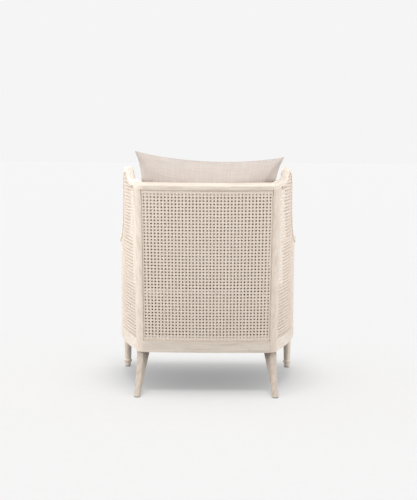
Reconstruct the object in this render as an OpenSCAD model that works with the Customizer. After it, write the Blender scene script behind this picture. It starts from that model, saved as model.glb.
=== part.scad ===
// Armchair with a caned back and caned sides in a limed wooden frame, and two loose cushions.
// Millimetres. The origin is on the floor under the middle of the chair, and the front faces -Y.

/* [Back] */
// Lean of the back from upright, in degrees
back_lean = 16; // [12:0.5:19]
// Height of the crest rail's top above the floor
crest_height = 804; // [790:1:830]
// Half the width across the cane surfaces at the back corners
back_half_width = 266; // [258:1:276]
// How far the back bows outwards in the middle
back_bow = 9; // [4:1:14]
// Y of the back's cane surface at the underside of the seat rails
back_foot_y = 171; // [164:1:182]
// Radius of the cane surface round each back corner
corner_radius = 34; // [32:1:38]
// Width of a back post across its rear face, from the cane surface at the side
post_face = 26; // [22:1:30]
// Depth of a back post, from the back's cane surface to the start of the side's
post_depth = 38; // [36:1:46]

/* [Frame] */
// Height of the seat rails' underside above the floor at the back posts
rail_underside = 158.5; // [152:0.5:165]
// Slope of the seat frame down towards the back, in degrees
seat_slope = 0.5; // [0:0.5:3]
// Height of the seat rails' visible face
rail_height = 49; // [47:1:54]
// How much the sides bow outwards, as a share of their spread
side_bow = 1; // [0.8:0.05:1]
// Thickness of the side and front seat rails, from the cane surface inwards
rail_depth = 28; // [26:1:34]
// How far the rails and posts stand proud of the cane
frame_proud = 3; // [2:0.5:4]
// Height of the top rail's cap
cap_height = 20; // [18:1:24]
// Depth of the crest rail's cap from front to back
crest_depth = 34; // [31:1:40]
// Thickness of the wing rail's cap
wing_depth = 28; // [26:1:32]
// Rounding of the top rail's long edges
cap_round = 7; // [3:1:9]

/* [Arms] */
// Height of the arm's underside at the front post
arm_underside = 536; // [525:1:550]
// Thickness of the arm
arm_thickness = 28; // [24:1:32]
// How far the arm overhangs the cane surface
arm_overhang = 7; // [4:1:10]
// Width of the arm
arm_width = 48; // [44:1:54]
// How far the arm reaches past the front post
arm_nose = 4; // [2:1:10]
// Height of the wing's peak above the floor
wing_height = 860; // [850:1:870]

/* [Front posts and legs] */
// Half the distance between the front posts' centres
front_post_x = 336; // [326:1:346]
// Y of the front posts' centres
front_post_y = -340; // [-355:1:-330]
// Width of the square part of a front post
post_width = 44; // [40:1:48]
// Rounding of the front post's edges
post_round = 5; // [2:1:8]
// Radius of the turned leg just under the rails
leg_top_radius = 16.5; // [15:0.5:18]
// Radius of the turned leg above its ring
leg_low_radius = 13.5; // [12:0.5:15]
// Radius of the turned ring
ring_radius = 17; // [16:0.5:18]
// Height of the turned ring's middle above the floor
ring_height = 25; // [22:1:32]

/* [Rear legs] */
// Thickness of a rear leg at its top
rear_leg_shoulder = 31; // [28:1:33]
// Thickness of a rear leg at the floor
rear_leg_thickness = 21; // [21:1:26]
// Depth of a rear leg at its top
rear_leg_top = 64; // [58:1:66]
// Depth of a rear leg at the floor
rear_leg_foot = 22; // [21:1:28]
// How far the rear leg sweeps backwards
rear_leg_sweep = 119; // [100:1:125]
// How far the rear leg sweeps outwards
rear_leg_spread = 18; // [10:1:24]
// Angle at which the rear leg's section is turned outwards
rear_leg_angle = 24; // [18:1:28]

/* [Cane] */
// Thickness of the cane webbing
cane_thickness = 1.6; // [1:0.1:2]
// Width of the wooden lip that carries the cane along the rails
lip_width = 16; // [12:1:20]
// Width of that lip along the posts
post_lip = 9; // [7:1:12]
// Thickness of that lip
lip_depth = 18; // [15:1:20]
// Width of the groove that holds the cane's edge
groove_width = 4; // [3.6:0.1:5]
// Depth of that groove
groove_depth = 6; // [4:0.5:8]

/* [Cushions] */
// Height of the seat cushion at its edges
seat_cushion_height = 153; // [140:1:160]
// How much the seat cushion crowns in the middle
seat_cushion_crown = 20; // [10:1:26]
// How far the back cushion's corner tips reach past the cane surface at each side
back_cushion_overhang = 6; // [-4:1:10]
// How far the back cushion's corner tips stand above the crest rail, up the slope
back_cushion_rise = 83; // [65:1:95]
// Thickness of the back cushion in the middle
back_cushion_thickness = 165; // [140:1:175]

/* [Fixings] */
// Diameter of the dowels
dowel_d = 8; // [6:1:9]
// Length of the dowels
dowel_length = 36; // [30:1:40]
// Diameter of the rear legs' hanger bolts
bolt_d = 8; // [6:1:10]
// Thickness of the foot glides
glide_thickness = 3; // [2:0.5:5]
// Width of the seat webbing straps
strap_width = 50; // [45:1:55]
// Thickness of a strap
strap_thickness = 1.5; // [1.2:0.1:2]

/* [Hidden] */
$fn = 64;

WOOD = [0.90, 0.85, 0.78];
INNER_WOOD = [0.80, 0.68, 0.52];
CANE = [0.86, 0.78, 0.68];
REED = [0.83, 0.74, 0.62];
LINEN = [0.87, 0.82, 0.76];
CLOTH = [0.25, 0.24, 0.23];
WEBBING = [0.55, 0.47, 0.36];
STEEL = [0.62, 0.62, 0.60];
PLASTIC = [0.20, 0.19, 0.18];

clearance = 0.3;
hole_clearance = 0.1;
// Longer than any piece, for the boxes that cut one off
reach = 2 * crest_height;
side_spread = front_post_x + post_width / 2 - frame_proud - back_half_width;
front_line_y = front_post_y + post_width / 2;
back_length = (crest_height - rail_underside) / cos(back_lean);
cap_v = back_length - cap_height;
rail_top = rail_underside + rail_height;
post_radius = corner_radius + frame_proud;
corner_x = back_half_width - corner_radius;
back_cushion_half_width = back_half_width + back_cushion_overhang;
post_x = back_half_width - post_face;
deck_thickness = 2;
cover_thickness = 1;
corner_steps = 8;
corner_stop = 12;
crest_steps = 12;

// Vector helpers
function unit(v) = v / norm(v);
function mix(a, b, t) = a * (1 - t) + b * t;
function bezier(p, t) = let (s = 1 - t)
    s * s * s * p[0] + 3 * s * s * t * p[1] + 3 * s * t * t * p[2] + t * t * t * p[3];
function bezier_points(p, steps, first = 0) = [for (i = [first:steps]) bezier(p, i / steps)];

// Skin over a list of rings, each ring running anticlockwise as seen from the last ring
module skin(rings) {
    count = len(rings[0]);
    last = len(rings) - 1;
    sides = [for (i = [0:last - 1]) for (j = [0:count - 1])
        let (k = (j + 1) % count, a = i * count, b = a + count)
        each [[a + j, b + k, a + k], [a + j, b + j, b + k]]];
    start = [for (j = [0:count - 1]) j];
    finish = [for (j = [count - 1:-1:0]) last * count + j];
    polyhedron([for (r = rings) each r], concat(sides, [start, finish]), convexity = 8);
}

// The back is a bowed surface in a leaning frame: x across, v up the slope, a outwards
function from_back(p) = [p[0],
    back_foot_y + p[1] * cos(back_lean) + p[2] * sin(back_lean),
    rail_underside - p[1] * sin(back_lean) + p[2] * cos(back_lean)];
function back_y(x) = back_bow * (1 - pow(x / back_half_width, 2));
function back_slope(x) = 2 * back_bow * x / pow(back_half_width, 2);
function back_point(x, v, a) = let (s = back_slope(x), k = 1 / sqrt(1 + s * s))
    from_back([x + a * s * k, back_y(x) + a * k, v]);
module on_back() {
    translate([0, back_foot_y, rail_underside]) rotate([-back_lean, 0, 0]) children();
}

// The left side is a surface from the leaning back post, w = 0, to the front post, w = 1
function post_line_y(z) = back_foot_y + (z - rail_underside) * tan(back_lean)
    - post_depth / cos(back_lean);
function side_w(y, z) = (post_line_y(z) - y) / (post_line_y(z) - front_line_y);
function side_x(w) = back_half_width + side_spread * (w + side_bow * w * (1 - w));
function side_surface(w, z) = [side_x(w), mix(post_line_y(z), front_line_y, w), z];
function side_normal(w, z) = unit(cross([0, (1 - w) * tan(back_lean), 1],
    [side_spread * (1 + side_bow * (1 - 2 * w)), front_line_y - post_line_y(z), 0]));
function side_point(w, z, a) = side_surface(w, z) + a * side_normal(w, z);

// The seat frame is a plane that slopes down to the back; up is the height over its underside
seat_rear_y = post_line_y(rail_underside);
function seat_z(y, up) = rail_underside + up - (y - seat_rear_y) * tan(seat_slope);
function seat_line_z(w, up) = (rail_underside + up + tan(seat_slope)
    * (seat_rear_y - (1 - w) * post_line_y(0) - w * front_line_y))
    / (1 + tan(seat_slope) * tan(back_lean) * (1 - w));
function seat_w(y, up) = side_w(y, seat_z(y, up));
front_underside = seat_z(front_line_y, 0);
seat_grain = cos(seat_slope);
strap_up = rail_height * seat_grain;
strap_lift = 0.1;
deck_up = strap_up + 2 * strap_thickness + 2 * strap_lift;
cushion_up = deck_up + deck_thickness + clearance;
module on_seat() {
    translate([0, front_line_y, front_underside]) rotate([-seat_slope, 0, 0]) children();
}
function seat_y(y, up = 0) = (y - front_line_y - up * sin(seat_slope)) / seat_grain;
function on_rail(w, up, a) = let (p = side_point(w, seat_line_z(w, up), a))
    [p[0], p[1], seat_z(p[1], up)];

// Line of the wing and arm in side view, as y and z of the cap's lower edge
corner_end = from_back([0, -post_depth, cap_v]);
wing_start = [corner_end[1], corner_end[2]];
side_depth = seat_rear_y - front_line_y;
wing_rise = wing_height - cap_height - arm_underside;
function side_place(share, z) = [front_line_y + share * side_depth, z];
wing_peak = side_place(1.066, arm_underside + wing_rise);
wing_fall = side_place(0.85, arm_underside + 0.63 * wing_rise);
arm_start = side_place(0.57, arm_underside + 0.13 * wing_rise);
arm_end = side_place(0, arm_underside);
rise = unit([-1, -0.03]);
fall = unit([-0.26, -1]);
sweep = unit([-1, -0.28]);
handle = side_depth / 7;
wing_line = concat(
    bezier_points([wing_start, wing_start + 2.5 * handle * rise, wing_peak + [handle, 0], wing_peak],
        12, 1),
    bezier_points([wing_peak, wing_peak - [handle, 0], wing_fall - handle * fall, wing_fall], 9, 1),
    bezier_points([wing_fall, wing_fall + 1.15 * handle * fall, arm_start - handle * sweep,
        arm_start], 10, 1));
arm_line = bezier_points([arm_start, arm_start + 1.3 * handle * sweep,
    arm_end + handle * [1.5, 0.03], arm_end], 8, 1);

// A frame is a point, its outward normal, and its direction away from the cane
function line_frames(line, before, after) = let (p = concat([before], line, [after]),
    s = [for (q = p) let (w = side_w(q[0], q[1])) [side_surface(w, q[1]), side_normal(w, q[1])]])
    [for (i = [1:len(line)]) let (t = s[i + 1][0] - s[i - 1][0])
        [s[i][0], s[i][1], unit(cross(t, s[i][1]))]];
corner_frames = [for (i = [0:corner_steps])
    let (t = mix(90, corner_stop, i / corner_steps), n = [cos(t), sin(t), 0],
        outward = from_back(n) - from_back([0, 0, 0]))
    [from_back([corner_x, -corner_radius, cap_v] + corner_radius * n), outward,
        [0, sin(back_lean), cos(back_lean)]]];
wing_frames = line_frames(wing_line, wing_start, arm_line[0]);
side_start = [side_surface(0, wing_start[1]), side_normal(0, wing_start[1]),
    [0, sin(back_lean), cos(back_lean)]];
arm_frames = line_frames(concat([arm_start], arm_line), wing_line[len(wing_line) - 2],
    arm_end - [10, 0]);

// Section of a capped rail with its groove and lip: a runs outwards, b away from the cane
function cap_section(outer, inner, height) = concat(
    [[0, -lip_width], [0, -groove_width], [-groove_depth, -groove_width], [-groove_depth, 0],
        [outer, 0]],
    [for (t = [0:22.5:90]) [outer - cap_round, height - cap_round] + cap_round * [cos(t), sin(t)]],
    [for (t = [90:22.5:180]) [inner + cap_round, height - cap_round] + cap_round * [cos(t), sin(t)]],
    [[inner, 0], [-lip_depth, 0], [-lip_depth, -lip_width]]);
function rail_section(outer, depth, height) = cap_section(outer, outer - depth, height);
function place(frame, section) = [for (q = section) frame[0] + q[0] * frame[1] + q[1] * frame[2]];

// Holes and dowels share these places
module dowel(clear, length = dowel_length) {
    cylinder(d = dowel_d + 2 * clear, h = length + 2 * clear, center = true);
}
module back_rail_dowels(clear = 0) {
    for (v = dowel_ups) on_back() translate([post_x, -15, v]) rotate([0, 90, 0]) dowel(clear, 32);
}
module crest_dowel(clear = 0) {
    on_back() translate([corner_x, -14, cap_v + cap_height / 2]) rotate([0, 90, 0]) dowel(clear, 26);
}
module post_top_dowel(clear = 0) {
    on_back() translate([post_x + 12, -18, cap_v - 3]) dowel(clear, 26);
}
dowel_ups = [0.27 * rail_height, 0.73 * rail_height];
module side_rail_rear_dowels(clear = 0) {
    for (up = dowel_ups) let (z = seat_line_z(0, up))
        translate([back_half_width - rail_depth / 2, post_line_y(z), z])
            rotate([90, 0, 0]) dowel(clear);
}
module side_rail_front_dowels(clear = 0) {
    for (up = dowel_ups)
        translate([side_x(1) - rail_depth / 2, front_line_y, seat_z(front_line_y, up)])
            rotate([90, 0, 0]) dowel(clear);
}
module front_rail_dowels(clear = 0) {
    for (up = dowel_ups)
        translate([front_rail_half, front_rail_face + rail_depth / 2, seat_z(front_line_y, up)])
            rotate([0, 90, 0]) dowel(clear);
}
module arm_joint_dowel(clear = 0) {
    translate([side_x(side_w(arm_start[0], arm_start[1])) - 12, arm_start[0],
        arm_start[1] + cap_height / 2]) rotate([90 + atan(sweep[1] / sweep[0]), 0, 0]) dowel(clear, 30);
}
module arm_post_dowel(clear = 0) {
    translate([front_post_x, front_post_y, arm_underside]) dowel(clear);
}

// Keeps what lies between two upright planes across the chair
module between_planes(half) {
    intersection() {
        children();
        cube([2 * half, 2000, 3000], center = true);
    }
}

// Crest rail, from one back corner to the other
module crest_rail() {
    section = rail_section(frame_proud, crest_depth, cap_height);
    color(WOOD) difference() {
        between_planes(corner_x) skin([for (i = [0:crest_steps])
            let (x = mix(-corner_x - 3, corner_x + 3, i / crest_steps))
            [for (q = section) back_point(x, cap_v + q[1], q[0])]]);
        crest_dowel(hole_clearance);
        mirror([1, 0, 0]) crest_dowel(hole_clearance);
    }
}

// Wing rail, round the back corner, over the wing and down to the arm
function wing_section(t) = rail_section(frame_proud, mix(crest_depth, wing_depth, min(1, t * 3)),
    cap_height);
module wing_rail() {
    frames = concat(corner_frames, [side_start], wing_frames);
    last = len(frames) - 1;
    color(WOOD) difference() {
        skin([for (i = [0:last]) place(frames[i], wing_section(i / last))]);
        on_back() translate([post_x, -post_depth, cap_v - 60]) cube([100, 100, 60]);
        crest_dowel(hole_clearance);
        post_top_dowel(hole_clearance);
        arm_joint_dowel(hole_clearance);
    }
}

// Arm, widening from the foot of the wing to a rounded nose past the front post
function arm_grow(t) = t * t * (3 - 2 * t);
function arm_section(t) = let (g = arm_grow(min(1, t * 1.25))) rail_section(
    mix(frame_proud, arm_overhang, g), mix(wing_depth, arm_width, g), mix(cap_height, arm_thickness, g));
module arm() {
    last = len(arm_frames) - 1;
    tip_y = front_post_y - post_width / 2 - arm_nose;
    nose = arm_width / 2;
    middle = arm_overhang - arm_width / 2;
    cap = [for (i = [0:last]) let (section = arm_section(i / last))
        place(arm_frames[i], [for (j = [4:15]) section[j]])];
    full = arm_section(1);
    round_nose = [for (t = [0:10:90]) let (k = max(0.06, cos(t)), y = tip_y + nose * (1 - sin(t)),
        w = side_w(y, arm_underside))
        [for (j = [4:15]) side_surface(w, arm_underside) + [middle + (full[j][0] - middle) * k, 0,
            mix(arm_thickness / 2, full[j][1], 0.6 + 0.4 * k)]]];
    lip = [[0, -lip_width], [0, -groove_width], [-groove_depth, -groove_width], [-groove_depth, 1],
        [-lip_depth, 1], [-lip_depth, -lip_width]];
    // The lip starts a little past the joint, so the two skins' end faces don't share a plane
    lip_start = [for (k = [0:2]) mix(arm_frames[0][k], arm_frames[1][k], 0.012)];
    lip_frames = concat([lip_start], [for (i = [1:last]) arm_frames[i]]);
    color(WOOD) difference() {
        union() {
            skin(concat(cap, round_nose));
            skin([for (f = lip_frames) place(f, lip)]);
        }
        translate([0, front_line_y - reach, arm_underside - reach]) cube(reach);
        arm_joint_dowel(hole_clearance);
        arm_post_dowel(hole_clearance);
    }
}

// Back post, a rounded corner post with a lip for the cane on each side
module post_section() {
    intersection() {
        union() {
            translate([corner_x, -corner_radius]) circle(r = post_radius);
            translate([post_x, -post_depth]) square([post_face + frame_proud, post_depth - corner_radius]);
        }
        translate([post_x, -post_depth]) square([post_face + frame_proud, post_depth + frame_proud]);
    }
}
module back_lip_section() {
    face = back_y(post_x);
    difference() {
        translate([post_x - post_lip, face - lip_depth]) square([post_lip + 1, lip_depth]);
        translate([post_x - groove_width, face - groove_depth]) square([groove_width, groove_depth + 1]);
    }
}
side_start_slope = side_spread * (1 + side_bow) / (post_line_y(wing_start[1]) - front_line_y);
side_end_slope = side_spread * (1 - side_bow) / (post_line_y(rail_top) - front_line_y);
module side_lip_section() {
    inner = back_half_width - lip_depth;
    bottom = back_half_width - groove_depth;
    polygon([[inner, 1 - post_depth], [bottom, 1 - post_depth],
        [bottom, -post_depth - groove_width],
        [back_half_width + groove_width * side_start_slope - 0.2, -post_depth - groove_width],
        [back_half_width + post_lip * side_start_slope - 0.4, -post_depth - post_lip],
        [inner, -post_depth - post_lip]]);
}
module below_seat() {
    on_seat() translate([0, 0, -reach / 2]) cube([2 * reach, 2 * reach, reach], center = true);
}
module back_post() {
    lip_low = rail_height + lip_width + 1;
    lip_high = cap_v - lip_width - 1;
    color(WOOD) difference() {
        on_back() union() {
            translate([0, 0, -20]) linear_extrude(cap_v + 20) post_section();
            translate([0, 0, lip_low]) linear_extrude(lip_high - lip_low) back_lip_section();
            translate([0, 0, lip_low - 8]) linear_extrude(lip_high - lip_low + 8) side_lip_section();
        }
        below_seat();
        back_rail_dowels(hole_clearance);
        side_rail_rear_dowels(hole_clearance);
        post_top_dowel(hole_clearance);
    }
}

// Rear seat rail under the back, its underside and ledge in the seat frame's planes
function back_rail_v(x, up, a) = let (b = back_y(x) + a / sqrt(1 + pow(back_slope(x), 2)))
    (up + b * sin(back_lean) - (back_foot_y + b * cos(back_lean) - seat_rear_y) * tan(seat_slope))
    / (cos(back_lean) + sin(back_lean) * tan(seat_slope));
module back_seat_rail() {
    inner = frame_proud - crest_depth;
    lip_top = rail_height + lip_width;
    groove_top = rail_height + groove_width;
    function section(x) = [[frame_proud, back_rail_v(x, 0, frame_proud)], [frame_proud, rail_height],
        [-groove_depth, rail_height], [-groove_depth, groove_top], [0, groove_top], [0, lip_top],
        [-lip_depth, lip_top], [-lip_depth, back_rail_v(x, rail_height, -lip_depth)],
        [inner, back_rail_v(x, rail_height, inner)], [inner, back_rail_v(x, 0, inner)]];
    color(WOOD) difference() {
        between_planes(post_x) skin([for (i = [0:crest_steps])
            let (x = mix(-post_x - 3, post_x + 3, i / crest_steps))
            [for (q = section(x)) back_point(x, q[1], q[0])]]);
        for (side = [0, 1]) mirror([side, 0, 0]) back_rail_dowels(hole_clearance);
        for (side = [0, 1]) mirror([side, 0, 0]) rear_block_screw_a(hole_clearance);
    }
}

// Side seat rail
module side_seat_rail() {
    lip_top = rail_height + lip_width;
    groove_top = rail_height + groove_width;
    section = [[frame_proud, 0], [frame_proud, rail_height], [-groove_depth, rail_height],
        [-groove_depth, groove_top], [0, groove_top], [0, lip_top], [-lip_depth, lip_top],
        [-lip_depth, rail_height], [-rail_depth, rail_height], [-rail_depth, 0]];
    color(WOOD) difference() {
        skin([for (i = [0:12]) let (w = mix(-0.02, 1.02, i / 12))
            [for (q = section) on_rail(w, q[1], q[0])]]);
        on_back() translate([0, -post_depth, -reach / 2]) cube(reach);
        translate([0, front_line_y - reach, 0]) cube(reach);
        side_rail_rear_dowels(hole_clearance);
        side_rail_front_dowels(hole_clearance);
        rear_block_screw_b(hole_clearance);
        front_block_screw_b(hole_clearance);
    }
}

// Front seat rail between the front posts, with a raised lip in front of the deck
front_rail_face = front_post_y - post_width / 2 + 6;
front_rail_back = front_rail_face + rail_depth;
front_rail_half = front_post_x - post_width / 2;
module front_seat_rail() {
    wide = 2 * front_rail_half;
    color(WOOD) difference() {
        translate([-front_rail_half, front_rail_face, front_underside - 10])
            cube([wide, rail_depth, rail_height + lip_width + 10]);
        below_seat();
        on_seat() translate([-wide, seat_y(front_rail_face + lip_depth, strap_up), strap_up])
            cube([2 * wide, 60, 60]);
        for (side = [0, 1]) mirror([side, 0, 0]) front_rail_dowels(hole_clearance);
        for (side = [0, 1]) mirror([side, 0, 0]) front_block_screw_a(hole_clearance);
    }
}

// Front post with its turned leg, all one piece
module rounded_square(width, radius) {
    union() {
        square([width - 2 * radius, width], center = true);
        square([width, width - 2 * radius], center = true);
        for (x = [-1, 1], y = [-1, 1])
            translate([x, y] * (width / 2 - radius)) circle(r = radius);
    }
}
module turned_leg() {
    shoulder = post_width / 2 - 0.5;
    top = front_underside;
    rotate_extrude() union() {
        polygon([[0, glide_thickness], [12, glide_thickness], [13.5, ring_height - 7],
            [13.5, ring_height + 7], [leg_low_radius, ring_height + 8],
            [leg_top_radius, top - 20], [leg_top_radius + 0.8, top - 12],
            [leg_top_radius + 2.4, top - 6], [shoulder, top], [0, top]]);
        translate([ring_radius - 5, ring_height]) circle(r = 5);
    }
}
module front_post() {
    flare = front_post_x + post_width / 2 + arm_overhang - frame_proud;
    flare_height = 80;
    flare_radius = 800;
    lip_low = front_underside + rail_height + lip_width + 1;
    color(WOOD) difference() {
        union() {
            translate([front_post_x, front_post_y, front_underside])
                linear_extrude(arm_underside - front_underside) rounded_square(post_width, post_round);
            translate([front_post_x, front_post_y, 0]) turned_leg();
            translate([0, front_post_y + post_width / 2 - post_round, 0]) rotate([90, 0, 0])
                linear_extrude(post_width - 2 * post_round) difference() {
                    translate([front_post_x, arm_underside - flare_height])
                        square([flare - front_post_x, flare_height]);
                    translate([front_post_x + post_width / 2 + flare_radius, arm_underside - flare_height])
                        circle(r = flare_radius, $fn = 360);
                }
            translate([0, 0, lip_low]) linear_extrude(arm_underside - lip_width - lip_low) polygon([
                [side_x(1) - lip_depth, front_line_y - 1],
                [side_x(1) - groove_depth, front_line_y - 1],
                [side_x(1) - groove_depth, front_line_y + groove_width],
                [side_x(1) - groove_width * side_end_slope - 0.3, front_line_y + groove_width],
                [side_x(1) - post_lip * side_end_slope - 0.3, front_line_y + post_lip],
                [side_x(1) - lip_depth, front_line_y + post_lip]]);
        }
        side_rail_front_dowels(hole_clearance);
        front_rail_dowels(hole_clearance);
        arm_post_dowel(hole_clearance);
        translate([front_post_x, front_post_y, 0]) glide_pin(hole_clearance);
    }
}

// Rear sabre leg: a turned, tapering section swept back and out from the frame to the floor
rear_leg_x = post_x + 1;
rear_leg_y = seat_rear_y - 11;
rear_foot = [rear_leg_x + rear_leg_spread, rear_leg_y + rear_leg_sweep, 0];
leg_steps = 16;
leg_round = 5;
function leg_section(t) = let (fade = pow(1 - t, 1.5),
    depth = mix(rear_leg_foot, rear_leg_top, fade) / 2 - leg_round,
    thick = mix(rear_leg_thickness, rear_leg_shoulder, fade) / 2 - leg_round,
    z = mix(rail_underside + 8, glide_thickness, t),
    middle = [rear_leg_x + rear_leg_spread * t, rear_leg_y + rear_leg_sweep * pow(t, 1.25)])
    [for (corner = [[1, 1, 0], [-1, 1, 90], [-1, -1, 180], [1, -1, 270]], a = [0, 45, 90])
        let (q = thick * corner[0] + leg_round * cos(corner[2] + a),
            p = depth * corner[1] + leg_round * sin(corner[2] + a))
        [middle[0] + q * cos(rear_leg_angle) + p * sin(rear_leg_angle),
            middle[1] - q * sin(rear_leg_angle) + p * cos(rear_leg_angle), z]];
module rear_leg() {
    color(WOOD) difference() {
        skin([for (i = [leg_steps:-1:0]) leg_section(i / leg_steps)]);
        on_seat() translate([0, 0, reach / 2]) cube([2 * reach, 2 * reach, reach], center = true);
        rear_leg_bolt(hole_clearance);
        translate(rear_foot) glide_pin(hole_clearance);
    }
}

// Hanger bolt from the rear leg into its corner block
bolt_x = rear_leg_x - 9;
bolt_y = rear_leg_y + 3;
bolt_up = 30;
bolt_down = 20;
module rear_leg_bolt(clear = 0) {
    translate([bolt_x, bolt_y, rail_underside - bolt_down - clear])
        cylinder(d = bolt_d + 2 * clear, h = bolt_up + bolt_down + 2 * clear);
}
module rear_leg_bolts() {
    color(STEEL) for (side = [0, 1]) mirror([side, 0, 0]) rear_leg_bolt();
}

// Foot glide with its pin
glide_pin_length = 7;
module glide_pin(clear = 0) {
    translate([0, 0, glide_thickness / 2])
        cylinder(d = 3 + 2 * clear, h = glide_pin_length + clear);
}
module glide() {
    cylinder(r = 10, h = glide_thickness);
    glide_pin();
}
module foot_glides() {
    color(PLASTIC) for (side = [0, 1]) mirror([side, 0, 0]) {
        translate([front_post_x, front_post_y, 0]) glide();
        translate(rear_foot) glide();
    }
}

// Corner blocks, each screwed to the two rails it stiffens
block_height = rail_height - 9;
screw_up = rail_height / 2;
function rail_inside(y) = let (w = seat_w(y, screw_up))
    side_x(w) - (rail_depth + clearance) / side_normal(w, seat_z(y, screw_up))[0];
rear_block_y = seat_rear_y - 83;
rear_block_x = post_x - 100;
front_block_y = front_line_y + 88;
front_block_x = front_rail_half - 89;
block_wing = 22;
module block_slab() {
    intersection() {
        translate([0, 0, 100]) linear_extrude(200) children();
        on_seat() translate([0, -reach / 2, 0]) cube([reach, reach, block_height]);
    }
}
module beyond_side_rail(y) {
    w = seat_w(y, screw_up);
    n = side_normal(w, seat_z(y, screw_up));
    translate(side_point(w, seat_z(y, screw_up), -rail_depth - 5 * clearance))
        rotate([0, -asin(n[2]), atan2(n[1], n[0])])
            translate([0, -reach / 2, -reach / 2]) cube(reach);
}
module rear_block() {
    middle = (rear_block_x + post_x) / 2;
    face = frame_proud - crest_depth + (back_y(rear_block_x) + back_y(post_x)) / 2;
    difference() {
        block_slab() polygon([[rear_block_x, back_foot_y], [back_half_width, back_foot_y],
            [back_half_width + 30, rear_block_y], [rail_inside(rear_block_y) - block_wing, rear_block_y],
            [rear_block_x, back_foot_y - 55]]);
        on_back() translate([middle, face, -100]) rotate([0, 0, -atan(back_slope(middle))])
            translate([-reach / 2, -clearance, 0]) cube(reach);
        on_back() translate([post_x - clearance, -post_depth - clearance, -100]) cube(reach);
        beyond_side_rail(seat_rear_y - 45);
        rear_leg_bolt(hole_clearance);
        rear_block_screw_a(hole_clearance);
        rear_block_screw_b(hole_clearance);
    }
}
module front_block() {
    behind_rail = front_rail_back + clearance;
    beside_post = front_rail_half - clearance;
    behind_post = front_line_y + clearance;
    difference() {
        block_slab() polygon([[front_block_x, behind_rail], [beside_post, behind_rail],
            [beside_post, behind_post], [side_x(1), behind_post], [side_x(1), front_block_y],
            [rail_inside(front_block_y) - block_wing, front_block_y],
            [front_block_x, behind_rail + block_wing]]);
        beyond_side_rail(front_line_y + 48);
        front_block_screw_a(hole_clearance);
        front_block_screw_b(hole_clearance);
    }
}
module corner_blocks() {
    color(INNER_WOOD) for (side = [0, 1]) mirror([side, 0, 0]) {
        rear_block();
        front_block();
    }
}

// Wood screws: a shank of 4 mm and a head sunk in a wider hole
screw_grip = 14;
screw_cover = 60;
module screw(clear = 0) {
    cover = clear > 0 ? screw_cover : 0;
    translate([0, 0, -screw_grip - clear]) cylinder(d = 4 + 2 * clear, h = screw_grip + 12 + clear);
    translate([0, 0, 11]) cylinder(d = 8 + 2 * clear, h = 3 + clear + cover);
}
module rear_block_screw_a(clear = 0) {
    on_back() translate([rear_block_x + 35, frame_proud - crest_depth, screw_up]) rotate([90, 0, 0])
        screw(clear);
}
module rear_block_screw_b(clear = 0) {
    y = rear_block_y + 26;
    translate([rail_inside(y), y, seat_z(y, screw_up)]) rotate([0, -90, 0]) screw(clear);
}
module front_block_screw_a(clear = 0) {
    translate([front_block_x + 37, front_rail_back, seat_z(front_rail_back, screw_up)]) rotate([-90, 0, 0])
        screw(clear);
}
module front_block_screw_b(clear = 0) {
    y = front_block_y - 33;
    translate([rail_inside(y), y, seat_z(y, screw_up)]) rotate([0, -90, 0]) screw(clear);
}
module block_screws() {
    color(STEEL) for (side = [0, 1]) mirror([side, 0, 0]) {
        rear_block_screw_a();
        rear_block_screw_b();
        front_block_screw_a();
        front_block_screw_b();
    }
}

// All the dowels of the frame
module dowels() {
    color(INNER_WOOD) for (side = [0, 1]) mirror([side, 0, 0]) {
        back_rail_dowels();
        crest_dowel();
        post_top_dowel();
        side_rail_rear_dowels();
        side_rail_front_dowels();
        front_rail_dowels();
        arm_joint_dowel();
        arm_post_dowel();
    }
}

// Cane webbing in the back
cane_lift = 0.1;
cane_edge = groove_width + 0.2;
cane_low = rail_height + cane_edge;
cane_high = cap_v - cane_edge;
cane_half = post_x - cane_edge;
module back_cane() {
    outside = cane_lift + cane_thickness;
    color(CANE) skin([for (i = [0:24]) let (x = mix(-cane_half, cane_half, i / 24))
        [back_point(x, cane_low, outside), back_point(x, cane_high, outside),
            back_point(x, cane_high, cane_lift), back_point(x, cane_low, cane_lift)]]);
}

// Cane webbing in a side, under the wing and the arm
side_frames = concat([side_start], wing_frames, [for (i = [1:len(arm_frames) - 1]) arm_frames[i]]);
side_margin = cane_edge / (seat_rear_y - front_line_y);
side_edge = [for (f = side_frames) let (p = f[0] - cane_edge * f[2], w = side_w(p[1], p[2]))
    [min(max(w, side_margin), 1 - side_margin), p[2]]];
side_rows = 6;
module side_cane() {
    outside = cane_lift + cane_thickness;
    color(CANE) skin([for (e = side_edge) let (low = seat_line_z(e[0], rail_height + cane_edge)) concat(
        [for (i = [0:side_rows]) side_point(e[0], mix(low, e[1], i / side_rows), outside)],
        [for (i = [side_rows:-1:0]) side_point(e[0], mix(low, e[1], i / side_rows), cane_lift)])]);
}

// Reed splines that wedge the cane into its grooves: a runs outwards, b from the rail
spline_section = let (foot = 0.2 - groove_depth, near = -0.2, far = 0.2 - groove_width)
    [[foot, near], [0.4, near], [1.9, mix(near, far, 0.3)], [1.9, mix(near, far, 0.7)], [0.4, far],
        [foot, far]];
spline_turned = [for (j = [5:-1:0]) spline_section[j]];
module back_cane_spline() {
    half = post_x - groove_width - 0.2;
    color(REED) {
        skin([for (i = [0:crest_steps]) let (x = mix(-half, half, i / crest_steps))
            [for (q = spline_turned) back_point(x, cap_v + q[1], q[0])]]);
        skin([for (i = [0:crest_steps]) let (x = mix(-half, half, i / crest_steps))
            [for (q = spline_section) back_point(x, rail_height - q[1], q[0])]]);
        for (side = [0, 1]) mirror([side, 0, 0])
            on_back() translate([post_x, back_y(post_x), rail_height + lip_width + 1.5])
                linear_extrude(cap_v - 2 * lip_width - rail_height - 3)
                    polygon([for (q = spline_section) [q[1], q[0]]]);
    }
}
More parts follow.
